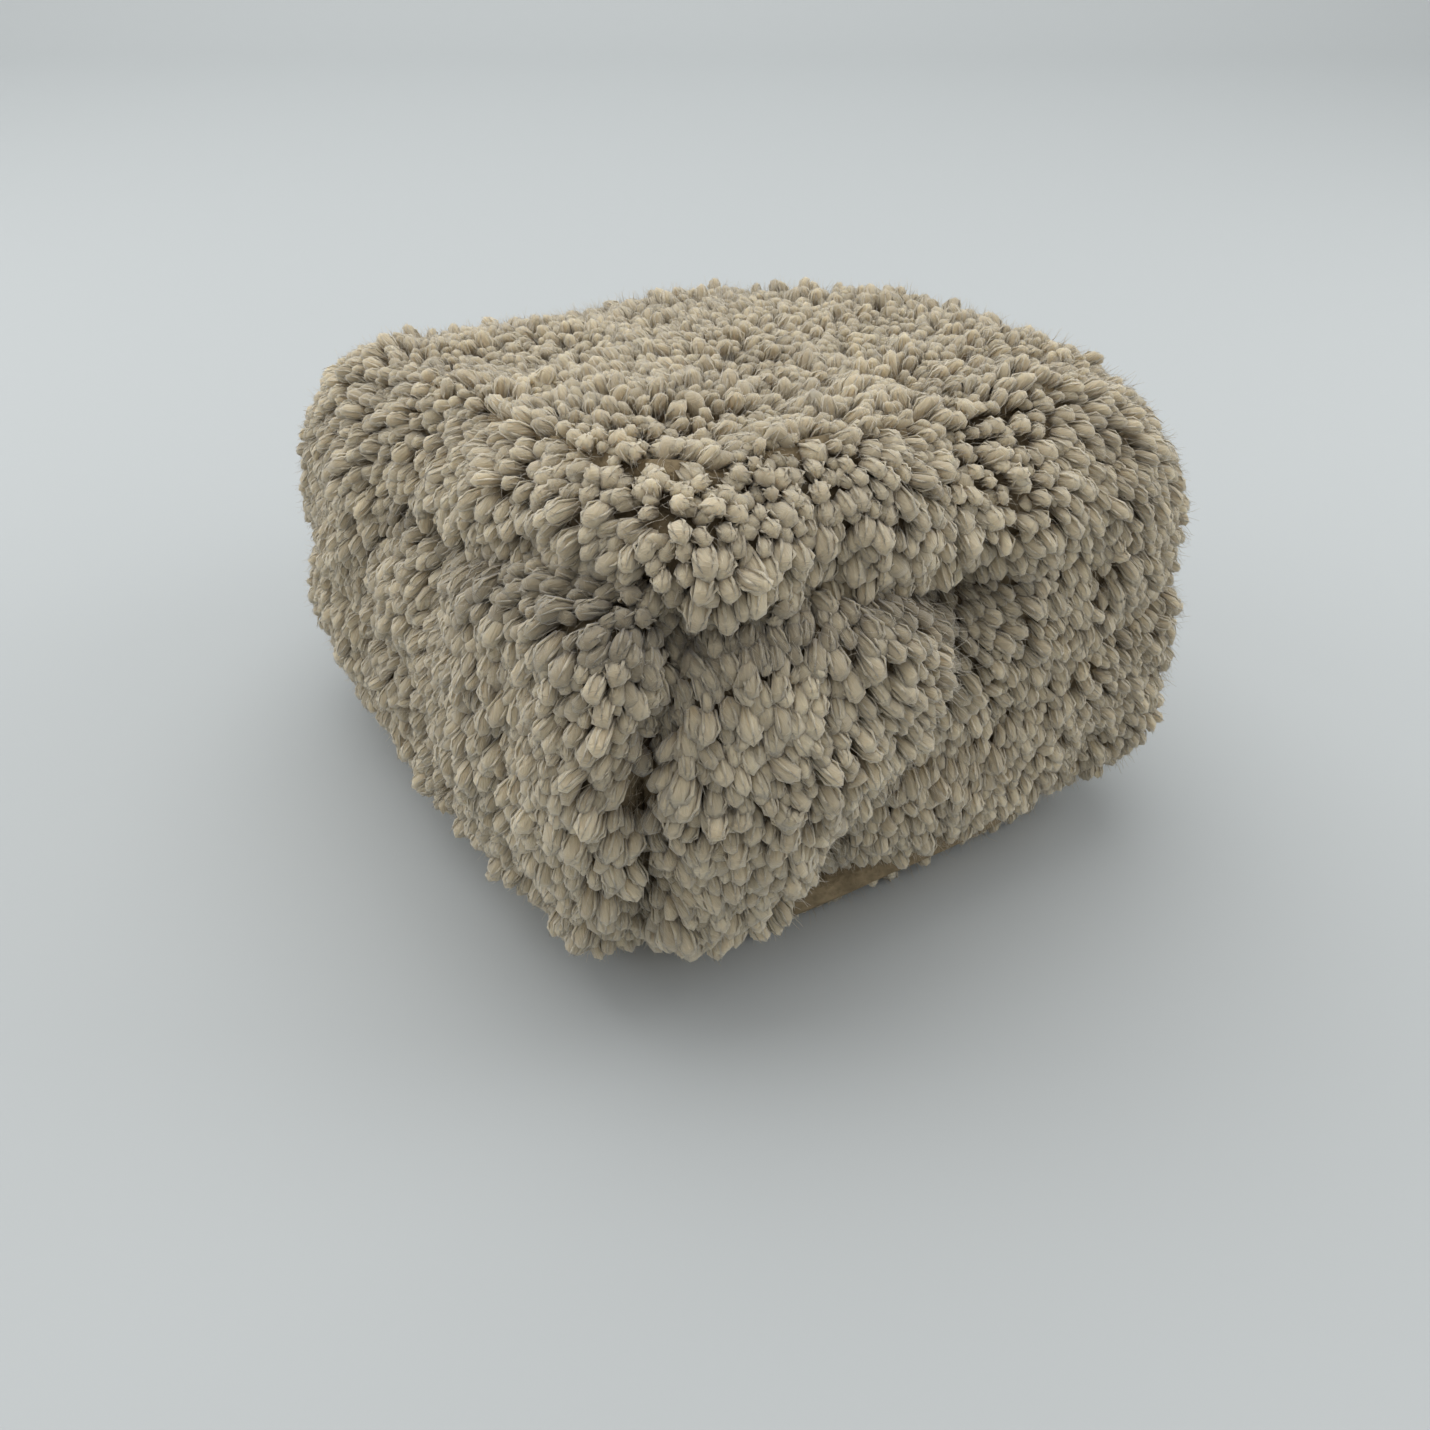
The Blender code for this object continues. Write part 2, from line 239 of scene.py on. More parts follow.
def knit_group():
    """Rows of small loops on a UV map of whole stitches: u counts columns and v counts rows."""
    nodes, given, result = new_group(
        "knit_loops", {"Place": ("VECTOR", (0, 0, 0))}, {"Height": "FLOAT", "Shade": "FLOAT"})
    parts = nodes.add("ShaderNodeSeparateXYZ", {0: given["Place"]}).outputs
    column = nodes.math("PINGPONG", parts[0], 0.5)
    slanted = nodes.math("ADD", parts[1], nodes.math("MULTIPLY", column, 1.1))
    row = nodes.math("PINGPONG", slanted, 0.5)
    crown = nodes.math("MULTIPLY", nodes.math("SINE", nodes.math("MULTIPLY", column, math.tau)), 0.5)
    height = nodes.math("ADD", nodes.math("MULTIPLY", row, 1.6), crown)
    nodes.put(result["Height"], height)
    # Painted shade: the loops darken towards their low parts, in the hollows between them.
    shade = nodes.add("ShaderNodeMapRange", {0: height, 1: 0.0, 2: 1.2, 3: 0.72, 4: 1.06})
    nodes.put(result["Shade"], shade.outputs[0])


def use_group(nodes, name, inputs):
    node = nodes.add("ShaderNodeGroup", node_tree=bpy.data.node_groups[name])
    for label, value in inputs.items():
        nodes.put(node.inputs[label], value)
    return node.outputs


def new_material(name, roughness, sheen=0.0):
    made = bpy.data.materials.new(name)
    made.use_nodes = True
    nodes = Nodes(made.node_tree)
    shader = made.node_tree.nodes["Principled BSDF"]
    shader.inputs["Roughness"].default_value = roughness
    shader.inputs["Specular IOR Level"].default_value = 0.2
    shader.inputs["Sheen Weight"].default_value = sheen
    shader.inputs["Sheen Roughness"].default_value = 0.6
    return made, nodes, shader


def add_bump(nodes, shader, height, strength, distance):
    bump = nodes.add("ShaderNodeBump", {"Strength": strength, "Distance": distance, "Height": height})
    nodes.put(shader.inputs["Normal"], bump.outputs[0])


def wool_material():
    """Cream wool: brown deep in the pile, paler at the tips, with fibre lines and tints that vary."""
    made, nodes, shader = new_material("cream_wool", 0.95, sheen=0.35)
    shader.inputs["Subsurface Weight"].default_value = 0.35
    shader.inputs["Subsurface Radius"].default_value = (1.0, 0.8, 0.55)
    shader.inputs["Subsurface Scale"].default_value = 0.004
    facts = nodes.add("ShaderNodeAttribute", attribute_name="lock").outputs["Color"]
    along, tone_and_painted_shade, shift = nodes.add("ShaderNodeSeparateColor", {0: facts}).outputs
    place = nodes.add("ShaderNodeUVMap", uv_map="lock_map").outputs[0]
    fibres = use_group(nodes, "wool_fibres", {"Place": place, "Shift": shift, "Fineness": 1.0})
    mottle = use_group(nodes, "soft_mottle", {"Scale": 28.0, "Low": 0.90, "High": 1.08})["Shade"]
    ramp = nodes.add("ShaderNodeMapRange", {0: along, 1: 0.15, 2: 0.70}, interpolation_type="SMOOTHSTEP").outputs[0]
    # Painted shade: each lock darkens from the tip colour to the roots' colour deep in the pile.
    wool = nodes.mix(ramp, tuple(settings().painted_root_shade), tuple(settings().tip_colour))
    # Painted shade: the fibre lines are darker in their grooves, where the bump is low.
    lines = nodes.add("ShaderNodeMapRange", {0: fibres["Fibres"], 1: 0.32, 2: 0.68, 3: 0.88, 4: 1.08}).outputs[0]
    clumps = nodes.add("ShaderNodeMapRange", {0: fibres["Clumps"], 1: 0.3, 2: 0.7, 3: 0.90, 4: 1.06}).outputs[0]
    # Each lock's tone varies at random and carries painted shade in the folds and on the under locks deep in the
    # pile.
    tone_and_painted_shade_factor = nodes.add("ShaderNodeMapRange", {0: tone_and_painted_shade, 3: 0.52, 4: 1.16}).outputs[0]
    shade = nodes.math("MULTIPLY", nodes.math("MULTIPLY", lines, clumps), nodes.math("MULTIPLY", tone_and_painted_shade_factor, mottle))
    grey = nodes.add("ShaderNodeCombineColor", {0: shade, 1: shade, 2: shade}).outputs[0]
    nodes.put(shader.inputs["Base Color"], nodes.mix(1.0, wool, grey, "MULTIPLY"))
    add_bump(nodes, shader, fibres["Fibres"], 0.5, 0.0010)
    return made


def hide_material():
    """Dense short underwool over the skin, seen only deep between the locks."""
    made, nodes, shader = new_material("underwool", 0.95)
    place = nodes.add("ShaderNodeTexCoord").outputs["Object"]
    fuzz = nodes.add("ShaderNodeTexNoise", {"Vector": place, "Scale": 700.0, "Detail": 4.0}).outputs[0]
    mottle = use_group(nodes, "soft_mottle", {"Scale": 120.0, "Low": 0.7, "High": 1.25})["Shade"]
    # Painted shade: the underwool is darker in the hollows of its fuzz, where the bump is low.
    shade = nodes.math("MULTIPLY", mottle, nodes.math("ADD", fuzz, 0.5))
    grey = nodes.add("ShaderNodeCombineColor", {0: shade, 1: shade, 2: shade}).outputs[0]
    # Painted shade: the underwool is the roots' colour darkened further, so the gaps between the locks read as
    # shadow.
    root = tuple(channel * 0.60 for channel in settings().painted_root_shade)
    nodes.put(shader.inputs["Base Color"], nodes.mix(1.0, root, grey, "MULTIPLY"))
    add_bump(nodes, shader, fuzz, 0.8, 0.0012)
    return made


def foam_material():
    made, nodes, shader = new_material("amber_foam", 0.9)
    place = nodes.add("ShaderNodeTexCoord").outputs["Object"]
    cells = nodes.add("ShaderNodeTexVoronoi", {"Vector": place, "Scale": 900.0}).outputs["Distance"]
    mottle = use_group(nodes, "soft_mottle", {"Scale": 60.0, "Low": 0.85, "High": 1.1})["Shade"]
    # Painted shade: the foam is darker in the pits of its cells, where the bump is low.
    painted_pore_shade = nodes.add("ShaderNodeMapRange", {0: cells, 1: 0.1, 2: 0.6, 3: 0.55, 4: 1.05}).outputs[0]
    shade = nodes.math("MULTIPLY", painted_pore_shade, mottle)
    grey = nodes.add("ShaderNodeCombineColor", {0: shade, 1: shade, 2: shade}).outputs[0]
    nodes.put(shader.inputs["Base Color"], nodes.mix(1.0, tuple(settings().foam_colour), grey, "MULTIPLY"))
    add_bump(nodes, shader, cells, 0.7, 0.0008)
    return made


def knit_material(name, colour, relief):
    """Knit or woven cloth: the UV map counts stitches."""
    made, nodes, shader = new_material(name, 0.88, sheen=0.15)
    place = nodes.add("ShaderNodeUVMap", uv_map="stitch_map").outputs[0]
    loops = use_group(nodes, "knit_loops", {"Place": place})
    mottle = use_group(nodes, "soft_mottle", {"Scale": 70.0, "Low": 0.88, "High": 1.08})["Shade"]
    shade = nodes.math("MULTIPLY", loops["Shade"], mottle)
    grey = nodes.add("ShaderNodeCombineColor", {0: shade, 1: shade, 2: shade}).outputs[0]
    nodes.put(shader.inputs["Base Color"], nodes.mix(1.0, colour, grey, "MULTIPLY"))
    add_bump(nodes, shader, loops["Height"], 0.8, relief)
    return made


def weave_material(name, colour, scale, relief):
    """Plain woven cloth from crossing waves in Object coordinates."""
    made, nodes, shader = new_material(name, 0.85, sheen=0.1)
    place = nodes.add("ShaderNodeTexCoord").outputs["Object"]
    waves = []
    for direction in ("X", "Y"):
        wave = nodes.add(
            "ShaderNodeTexWave", {"Vector": place, "Scale": scale, "Distortion": 0.6, "Detail": 1.0},
            bands_direction=direction)
        waves.append(wave.outputs["Fac"])
    height = nodes.math("MAXIMUM", waves[0], waves[1])
    mottle = use_group(nodes, "soft_mottle", {"Scale": 90.0, "Low": 0.85, "High": 1.08})["Shade"]
    # Painted shade: the cloth is darker where the weave is low, between its threads; the mottle is a random tone.
    shade = nodes.math("MULTIPLY", mottle, nodes.math("ADD", nodes.math("MULTIPLY", height, 0.35), 0.72))
    grey = nodes.add("ShaderNodeCombineColor", {0: shade, 1: shade, 2: shade}).outputs[0]
    nodes.put(shader.inputs["Base Color"], nodes.mix(1.0, colour, grey, "MULTIPLY"))
    add_bump(nodes, shader, height, 0.6, relief)
    return made


def material(name):
    """The named material, made the first time it is asked for."""
    if name in bpy.data.materials:
        return bpy.data.materials[name]
    for group, make in (("wool_fibres", fibre_group), ("soft_mottle", mottle_group), ("knit_loops", knit_group)):
        if group not in bpy.data.node_groups:
            make()
    cloth = tuple(settings().cloth_colour)
    pale = tuple(min(1.0, channel * 1.35) for channel in cloth)
    makers = {
        "cream_wool": wool_material,
        "underwool": hide_material,
        "amber_foam": foam_material,
        "rib_knit": lambda: knit_material("rib_knit", cloth, 0.0005),
        "elastic_knit": lambda: weave_material("elastic_knit", (0.74, 0.72, 0.66), 900.0, 0.0002),
        "binding_tape": lambda: weave_material("binding_tape", tuple(c * 0.9 for c in cloth), 520.0, 0.0003),
        "lining_cloth": lambda: weave_material("lining_cloth", pale, 640.0, 0.00025),
        "sewing_thread": lambda: weave_material("sewing_thread", (0.66, 0.60, 0.48), 1500.0, 0.0002),
    }
    return makers[name]()


# ---------------------------------------------------------------- the block's surface

def smooth_step(value, low, high):
    part = np.clip((value - low) / (high - low), 0, 1)
    return part * part * (3 - 2 * part)


def block_form(points):
    """Points of a cube from -1 to 1, moved onto the block's plain outer form."""
    x, y, z = points.T
    level = 0.5 + 0.5 * np.sin(z * math.pi / 2)
    reach = np.maximum(np.abs(x), np.abs(y))
    norm = np.maximum((np.abs(x) ** PLAN_POWER + np.abs(y) ** PLAN_POWER) ** (1 / PLAN_POWER), 1e-9)
    share = np.interp(level, FORM_LEVELS, FORM_SHARES) * reach / norm
    across, along = x * share, y * share
    top = HEIGHT * (1 + (SLOPE[0] * across + SLOPE[1] * along) * level)
    return np.stack([across * WIDTH / 2, MIDDLE_Y + along * LENGTH / 2, level * top], axis=1)


def line_distance(points, line):
    """Least distance from each point to a line of straight runs."""
    nearest = np.full(len(points), np.inf)
    for start, end in zip(line, line[1:]):
        start, run = np.array(start, float), np.subtract(end, start).astype(float)
        part = np.clip((points - start) @ run / (run @ run), 0, 1)
        nearest = np.minimum(nearest, np.linalg.norm(points - start - part[:, None] * run, axis=1))
    return nearest


def seam_height(points):
    """Where the seam between the pelts runs: level, but pulled up towards the front right."""
    return 50 + 14 * smooth_step(points[:, 0], 5, 50) * smooth_step(-points[:, 1], -10, 70)


def flap_inside(points):
    """How far each point is inside the right flap's free edge, and whether it is on that side at all."""
    edge = np.interp(points[:, 2], FLAP_EDGE_Z, FLAP_EDGE_X)
    facing = smooth_step(-points[:, 1], 60, 74) * smooth_step(-line_height(points), -2, 4)
    return edge - points[:, 0], facing


def line_height(points):
    """How far each point is above the overhang fold."""
    fold = np.array(OVERHANG_FOLD, float)
    turn = np.arctan2(points[:, 1], points[:, 0])
    fold_turn = np.unwrap(np.arctan2(fold[:, 1], fold[:, 0]))
    turn = np.where(turn > 0.5 * math.pi, turn - math.tau, turn)
    fold_turn = np.where(fold_turn > 0.5 * math.pi, fold_turn - math.tau, fold_turn)
    return points[:, 2] - np.interp(turn, fold_turn, fold[:, 2])


def fold_relief(points):
    """How far the surface stands out of the plain form, in millimetres, for points in millimetres."""
    relief = np.zeros(len(points))
    overhang = line_distance(points, OVERHANG_FOLD)
    relief -= 9.5 * np.exp(-(overhang / 4.8) ** 2)
    above = line_height(points)
    corner = np.exp(-((points[:, 0] + 45) / 45) ** 2 - ((points[:, 1] + 70) / 45) ** 2)
    relief += 3.5 * corner * np.exp(-((above - 9) / 7) ** 2)
    relief -= 9.5 * np.exp(-(line_distance(points, CLOSING_FOLD) / 3.6) ** 2)
    inside, facing = flap_inside(points)
    relief += facing * (6.0 * smooth_step(inside, -0.5, 2) - 6.5 * np.exp(-((inside + 8) / 9) ** 2))
    cheek = np.interp(points[:, 2], CHEEK_EDGE_Z, CHEEK_EDGE_Y) - points[:, 1]
    relief += 2.5 * smooth_step(cheek, -8, 8) * smooth_step(-points[:, 0], 55, 75) * smooth_step(-above, 0, 6)
    seam = np.abs(points[:, 2] - seam_height(points))
    on_flap = np.maximum(facing * smooth_step(inside, -3, 3), smooth_step(cheek, -6, 6) * (points[:, 0] < -60))
    on_wall = (points[:, 2] > 10) & (points[:, 2] < 85)
    relief -= on_wall * (1 - on_flap) * 4.5 * np.exp(-(seam / 4.5) ** 2)
    for place, height, spread in DENTS:
        far = np.linalg.norm(points - np.array(place, float), axis=1)
        relief += height * np.exp(-(far / spread) ** 2)
    return relief


def crease(points):
    """How deep in a fold each point is, from 0 on the open surface to 1."""
    inside, facing = flap_inside(points)
    overhang = line_distance(points, OVERHANG_FOLD)
    depth = np.exp(-(overhang / 3.5) ** 2)
    depth += 0.8 * np.exp(-((line_height(points) + 4.5) / 4.0) ** 2) * (overhang < 14)
    depth += np.exp(-(line_distance(points, CLOSING_FOLD) / 4.2) ** 2)
    depth += 0.95 * facing * np.exp(-((inside + 9) / 7) ** 2)
    return np.minimum(depth, 1)


def lumps(points, size, height):
    """Soft uneven swellings, in millimetres."""
    return np.array([noise.noise(Vector(point) / size) for point in points]) * height


def grid_mesh(cuts):
    """A cube of even squares, mapped onto the block's plain form and relaxed."""
    bm = bmesh.new()
    bmesh.ops.create_cube(bm, size=2)
    bmesh.ops.subdivide_edges(bm, edges=bm.edges, cuts=cuts, use_grid_fill=True)
    places = block_form(np.array([vert.co[:] for vert in bm.verts]))
    for vert, place in zip(bm.verts, places):
        vert.co = place
    for _ in range(4):
        bmesh.ops.smooth_vert(bm, verts=bm.verts, factor=0.5, use_axis_x=True, use_axis_y=True, use_axis_z=True)
    bm.normal_update()
    return bm


def wool_surface(depth):
    """The folded block's surface, depth below the tips of the pile. Its second result holds, for
    each vertex, the direction that the pile grows in."""
    bm = grid_mesh(63)
    plain = np.array([vert.co[:] for vert in bm.verts])
    outward = np.array([vert.normal[:] for vert in bm.verts])
    from_base = (plain - ROOT_Y) / MILLIMETRE
    relief = fold_relief(from_base) + lumps(from_base, 22, 3.0) + lumps(from_base + 90, 9, 1.2)
    standing = smooth_step(from_base[:, 2], 0, 7)
    places = plain + outward * (relief * standing * MILLIMETRE - depth)[:, None]
    for vert, place in zip(bm.verts, places):
        vert.co = place
    bm.normal_update()
    folded = np.array([vert.normal[:] for vert in bm.verts])
    growth = outward + 0.35 * folded
    growth /= np.linalg.norm(growth, axis=1)[:, None]
    return bm, growth


PANELS = ("upper_pelt", "lower_pelt", "corner_flap_left", "corner_flap_right")


def panel_of(places):
    """The panel, as an index into PANELS, that each place belongs to."""
    points = (places - ROOT_Y) / MILLIMETRE
    panel = np.where(points[:, 2] > seam_height(points), 0, 1)
    inside, facing = flap_inside(points)
    fold = np.array(CLOSING_FOLD, float)
    closing_x = np.interp(points[:, 2], fold[::-1, 2], fold[::-1, 0])
    low = points[:, 2] > 9
    under = line_height(points) < 0
    cheek = np.interp(points[:, 2], CHEEK_EDGE_Z, CHEEK_EDGE_Y) - points[:, 1]
    left = (cheek > 0) & (points[:, 0] < closing_x) & (points[:, 0] < -45) & low & under
    right = (inside > 0) & (facing > 0.3) & (points[:, 0] >= closing_x) & low & under
    panel[left] = 2
    panel[right] = 3
    return panel


def at_opening(places, grow):
    """Whether a place is inside the hand opening's oval, grown on every side."""
    half_width = (BINDING_HIGH[0] - BINDING_LOW[0]) / 2 + grow
    half_height = (BINDING_HIGH[2] - BINDING_LOW[2]) / 2 + grow
    share = (np.abs(places[:, 0]) / half_width) ** OPENING_POWER
    share += (np.abs(places[:, 2] - OPENING_Z) / half_height) ** OPENING_POWER
    return (share < 1) & (places[:, 1] > REAR - 0.030)


# ---------------------------------------------------------------- pieces

def add_piece(name, mesh, finish, replaced=()):
    mesh.materials.clear()
    mesh.materials.append(material(finish))
    piece = bpy.data.objects.new(name, mesh)
    bpy.context.scene.collection.objects.link(piece)
    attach(piece, "root")
    if replaced:
        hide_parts(*replaced)
    return piece


def mesh_from(bm, name, smooth=True):
    mesh = bpy.data.meshes.new(name)
    bm.to_mesh(mesh)
    bm.free()
    if smooth:
        mesh.shade_smooth()
    return mesh


def rotations(forward, rng):
    """Turns that take +Z to each forward direction and +X roughly downhill."""
    toward = rng.normal(scale=0.45, size=forward.shape) + (0, 0, -1)
    side = toward - forward * (toward * forward).sum(axis=1)[:, None]
    side /= np.linalg.norm(side, axis=1)[:, None]
    return np.stack([side, np.cross(forward, side), forward], axis=2)


STRANDS = 5  # on each lock
STRAND_WIDTH = 0.075  # against the lock's width


def lock_shape(rng, strands):
    """One curled lock with its map: a soft core with strands along it, a unit long from its root
    at the origin along +Z and a unit wide, curling towards +X."""
    bm = bmesh.new()
    bmesh.ops.create_uvsphere(bm, u_segments=7, v_segments=4, radius=1)
    layer = bm.loops.layers.uv.new("lock_map")
    for face in bm.faces:
        turns = [math.atan2(loop.vert.co.y, loop.vert.co.x) / math.tau for loop in face.loops]
        wrapped = max(turns) - min(turns) > 0.5
        for loop, turn in zip(face.loops, turns):
            loop[layer].uv = (turn + 1 if wrapped and turn < 0 else turn, (loop.vert.co.z + 1) / 2)
    lobes, twist, phase = rng.integers(2, 4), rng.uniform(-1.5, 1.5), rng.uniform(0, math.tau)
    for vert in bm.verts:
        across = math.hypot(vert.co.x, vert.co.y)
        along = (vert.co.z + 1) / 2
        around = math.atan2(vert.co.y, vert.co.x)
        girth = (0.52 + 0.50 * along) * across ** -0.30 if across > 1e-6 else 0.0
        girth *= 1 + 0.14 * math.cos(lobes * around + twist * along + phase)
        vert.co = (vert.co.x * girth / 2, vert.co.y * girth / 2, along)
    for strand in range(strands):
        around = (strand + rng.uniform(0.1, 0.9)) * math.tau / strands
        add_strand(bm, layer, around, rng)
    bend, sway = rng.uniform(0.25, 0.60), rng.uniform(-0.2, 0.2)
    for vert in bm.verts:
        x, y, along = vert.co
        vert.co = (
            x + bend * along * along, y + sway * math.sin(math.pi * along), along * (1 - 0.22 * bend * along))
    return bm


def add_strand(bm, layer, around, rng):
    """A closed taper of wool along a lock, which wraps in over the lock's tip."""
    turn = rng.uniform(-0.5, 0.5)
    path = ((0.20, 0.30), (0.68, 0.47), (rng.uniform(0.98, 1.05), rng.uniform(0.06, 0.26)))
    centres = [
        Vector((reach * math.cos(around + turn * along), reach * math.sin(around + turn * along), along))
        for along, reach in path
    ]
    corners = [Vector((math.cos(i * math.tau / 3), math.sin(i * math.tau / 3), 0)) * STRAND_WIDTH for i in range(3)]
    rings = [[bm.verts.new(centre + corner) for corner in corners] for centre in centres[:2]]
    tip = bm.verts.new(centres[2])
    faces = [bm.faces.new(rings[0][::-1])]
    for i in range(3):
        low, high = rings
        j = (i + 1) % 3
        faces.append(bm.faces.new((low[i], low[j], high[j], high[i])))
        faces.append(bm.faces.new((high[i], high[j], tip)))
    for face in faces:
        for loop in face.loops:
            loop[layer].uv = (around / math.tau + loop.vert.co.x, loop.vert.co.z)


def shape_arrays(bm):
    """A shape's points, triangles and loop map, ready to be copied many times."""
    bmesh.ops.triangulate(bm, faces=bm.faces)
    bm.verts.index_update()
    layer = bm.loops.layers.uv["lock_map"]
    points = np.array([vert.co[:] for vert in bm.verts])
    corners = np.array([[vert.index for vert in face.verts] for face in bm.faces])
    uv = np.array([[loop[layer].uv[:] for loop in face.loops] for face in bm.faces]).reshape(-1, 2)
    bm.free()
    return points, corners, uv


def copies_mesh(name, shapes, choice, turns, sizes, places, facts, lowest):
    """One mesh of many placed copies of a few shapes. facts holds each copy's tint and shift."""
    points, corners, maps, colours = [], [], [], []
    start = 0
    for index, (shape, faces, uv) in enumerate(shapes):
        mine = np.flatnonzero(choice == index)
        if not len(mine):
            continue
        scaled = shape[None] * sizes[mine][:, None, :]
        placed = np.einsum("nij,nkj->nki", turns[mine], scaled) + places[mine][:, None, :]
        points.append(placed.reshape(-1, 3))
        shifts = start + np.arange(len(mine)) * len(shape)
        corners.append((faces[None] + shifts[:, None, None]).reshape(-1, 3))
        maps.append(np.tile(uv, (len(mine), 1)))
        along = np.clip(shape[:, 2] / max(shape[:, 2].max(), 1e-6), 0, 1)
        colour = np.ones((len(mine), len(shape), 4))
        colour[..., 0] = along[None]
        colour[..., 1:3] = facts[mine][:, None, :]
        colours.append(colour.reshape(-1, 4))
        start += len(mine) * len(shape)
    points, corners = np.concatenate(points), np.concatenate(corners)
    points[:, 2] = np.maximum(points[:, 2], lowest)
    mesh = bpy.data.meshes.new(name)
    mesh.vertices.add(len(points))
    mesh.vertices.foreach_set("co", points.astype(np.float32).ravel())
    mesh.loops.add(corners.size)
    mesh.loops.foreach_set("vertex_index", corners.astype(np.int32).ravel())
    mesh.polygons.add(len(corners))
    mesh.polygons.foreach_set("loop_start", (np.arange(len(corners)) * 3).astype(np.int32))
    mesh.update(calc_edges=True)
    mesh.uv_layers.new(name="lock_map").data.foreach_set("uv", np.concatenate(maps).astype(np.float32).ravel())
    tone_and_painted_shade = mesh.color_attributes.new("lock", "FLOAT_COLOR", "POINT")
    tone_and_painted_shade.data.foreach_set("color", np.concatenate(colours).astype(np.float32).ravel())
    mesh.shade_smooth()
    return mesh


def scatter(bm, growth, spacing, rng):
    """Random places on a surface, no two closer than the local spacing, each with its growth direction."""
    mesh_points = np.array([vert.co[:] for vert in bm.verts])
    quads = np.array([[vert.index for vert in face.verts] for face in bm.faces])
    triangles = np.concatenate([quads[:, [0, 1, 2]], quads[:, [0, 2, 3]]])
    a, b, c = (mesh_points[triangles[:, i]] for i in range(3))
    areas = np.linalg.norm(np.cross(b - a, c - a), axis=1) / 2
    count = int(5.0 * areas.sum() / spacing ** 2)
    chosen = rng.choice(len(triangles), size=count, p=areas / areas.sum())
    u, v = rng.random(count), rng.random(count)
    u, v = np.where(u + v > 1, 1 - u, u)[:, None], np.where(u + v > 1, 1 - v, v)[:, None]
    weights = (1 - u - v, u, v)
    corners = triangles[chosen]
    places = sum(weight * mesh_points[corners[:, i]] for i, weight in enumerate(weights))
    directions = sum(weight * growth[corners[:, i]] for i, weight in enumerate(weights))
    directions /= np.linalg.norm(directions, axis=1)[:, None]
    cells, kept = {}, []
    keys = np.floor(places / spacing).astype(int)
    neighbours = [(i, j, k) for i in (-1, 0, 1) for j in (-1, 0, 1) for k in (-1, 0, 1)]
    for index, (key, place) in enumerate(zip(map(tuple, keys), places)):
        near = [n for i, j, k in neighbours for n in cells.get((key[0] + i, key[1] + j, key[2] + k), ())]
        if near and (((places[near] - place) ** 2).sum(axis=1) < spacing ** 2).any():
            continue
        cells.setdefault(key, []).append(index)
        kept.append(index)
    return places[kept], directions[kept]


def comb(places, directions, rng):
    """How the pile lies: each lock's direction leans along the surface, in swirls and downhill."""
    points = (places - ROOT_Y) / MILLIMETRE
    swirl = np.array([noise.noise_vector(Vector(point) / 24) for point in points])
    fine = np.array([noise.noise_vector(Vector(point) / 7 + Vector((9, 5, 2))) for point in points])
    upright = np.abs(directions[:, 2])
    down = np.zeros_like(places)
    down[:, 2] = -0.85 * (1 - upright)
    down[:, :2] = (0.55 * upright * (directions[:, 2] > 0))[:, None] * points[:, :2] / 90
    beneath = smooth_step(-directions[:, 2], 0.3, 0.8)
    down[:, :2] -= (1.3 * beneath)[:, None] * points[:, :2] / 90
    near_fold = np.exp(-((line_height(points) - 6) / 8) ** 2) * (points[:, 1] + points[:, 0] < -60)
    down[:, 2] -= 0.6 * near_fold
    inside, facing = flap_inside(points)
    rim = facing * np.exp(-((inside - 2) / 5) ** 2)
    down += rim[:, None] * np.array([0.9, -0.1, -0.3])
    lean = down + 1.0 * swirl + 0.32 * fine
    lean += rng.normal(scale=0.11, size=lean.shape)
    lean -= directions * (lean * directions).sum(axis=1)[:, None]
    combed = directions + lean * (0.90 + 0.20 * upright)[:, None]
    combed /= np.linalg.norm(combed, axis=1)[:, None]
    combed[:, 2] = np.maximum(combed[:, 2], -points[:, 2] / (settings().lock_length / MILLIMETRE))
    return combed / np.linalg.norm(combed, axis=1)[:, None]


ROOT_DEPTH = 0.0056
PRESSED = 0.0004
HIDE_BELOW = 0.0012


def build_hides():
    """The four panels' dense underwool and skin, each a closed shell under the locks."""
    bm, _ = wool_surface(ROOT_DEPTH + HIDE_BELOW)
    centres = np.array([face.calc_center_median()[:] for face in bm.faces])
    panel = panel_of(centres)
    opening = at_opening(centres, -0.0005)
    for index, name in enumerate(PANELS):
        part = bm.copy()
        part.faces.ensure_lookup_table()
        away = [part.faces[i] for i in np.flatnonzero((panel != index) | opening)]
        bmesh.ops.delete(part, geom=away, context="FACES")
        keep_largest(part)
        for vert in part.verts:
            vert.co.z = max(vert.co.z, PRESSED)
        hide = add_piece(f"{name}_underwool", mesh_from(part, name), "underwool", (name,))
        wall = hide.modifiers.new("skin", "SOLIDIFY")
        wall.thickness = 0.0035
        wall.offset = -1
    bm.free()


def keep_largest(bm):
    """Drops stray islands of faces, so that a panel is one sheet."""
    left = set(bm.faces)
    islands = []
    while left:
        island, edge = set(), [left.pop()]
        while edge:
            face = edge.pop()
            island.add(face)
            for side in face.edges:
                for other in side.link_faces:
                    if other in left:
                        left.discard(other)
                        edge.append(other)
        islands.append(island)
    islands.sort(key=len)
    stray = [face for island in islands[:-1] for face in island]
    bmesh.ops.delete(bm, geom=stray, context="FACES")


PILE_LAYERS = (
    # name, spacing and length against the settings, tone (the under locks' lower tone is painted shade deep in the
    # pile), strands on each lock, locks in a piece
    ("locks", 1.0, 1.0, 0.72, STRANDS, 2000),
    ("under_locks", 1.28, 0.74, 0.52, 0, 4200),
)


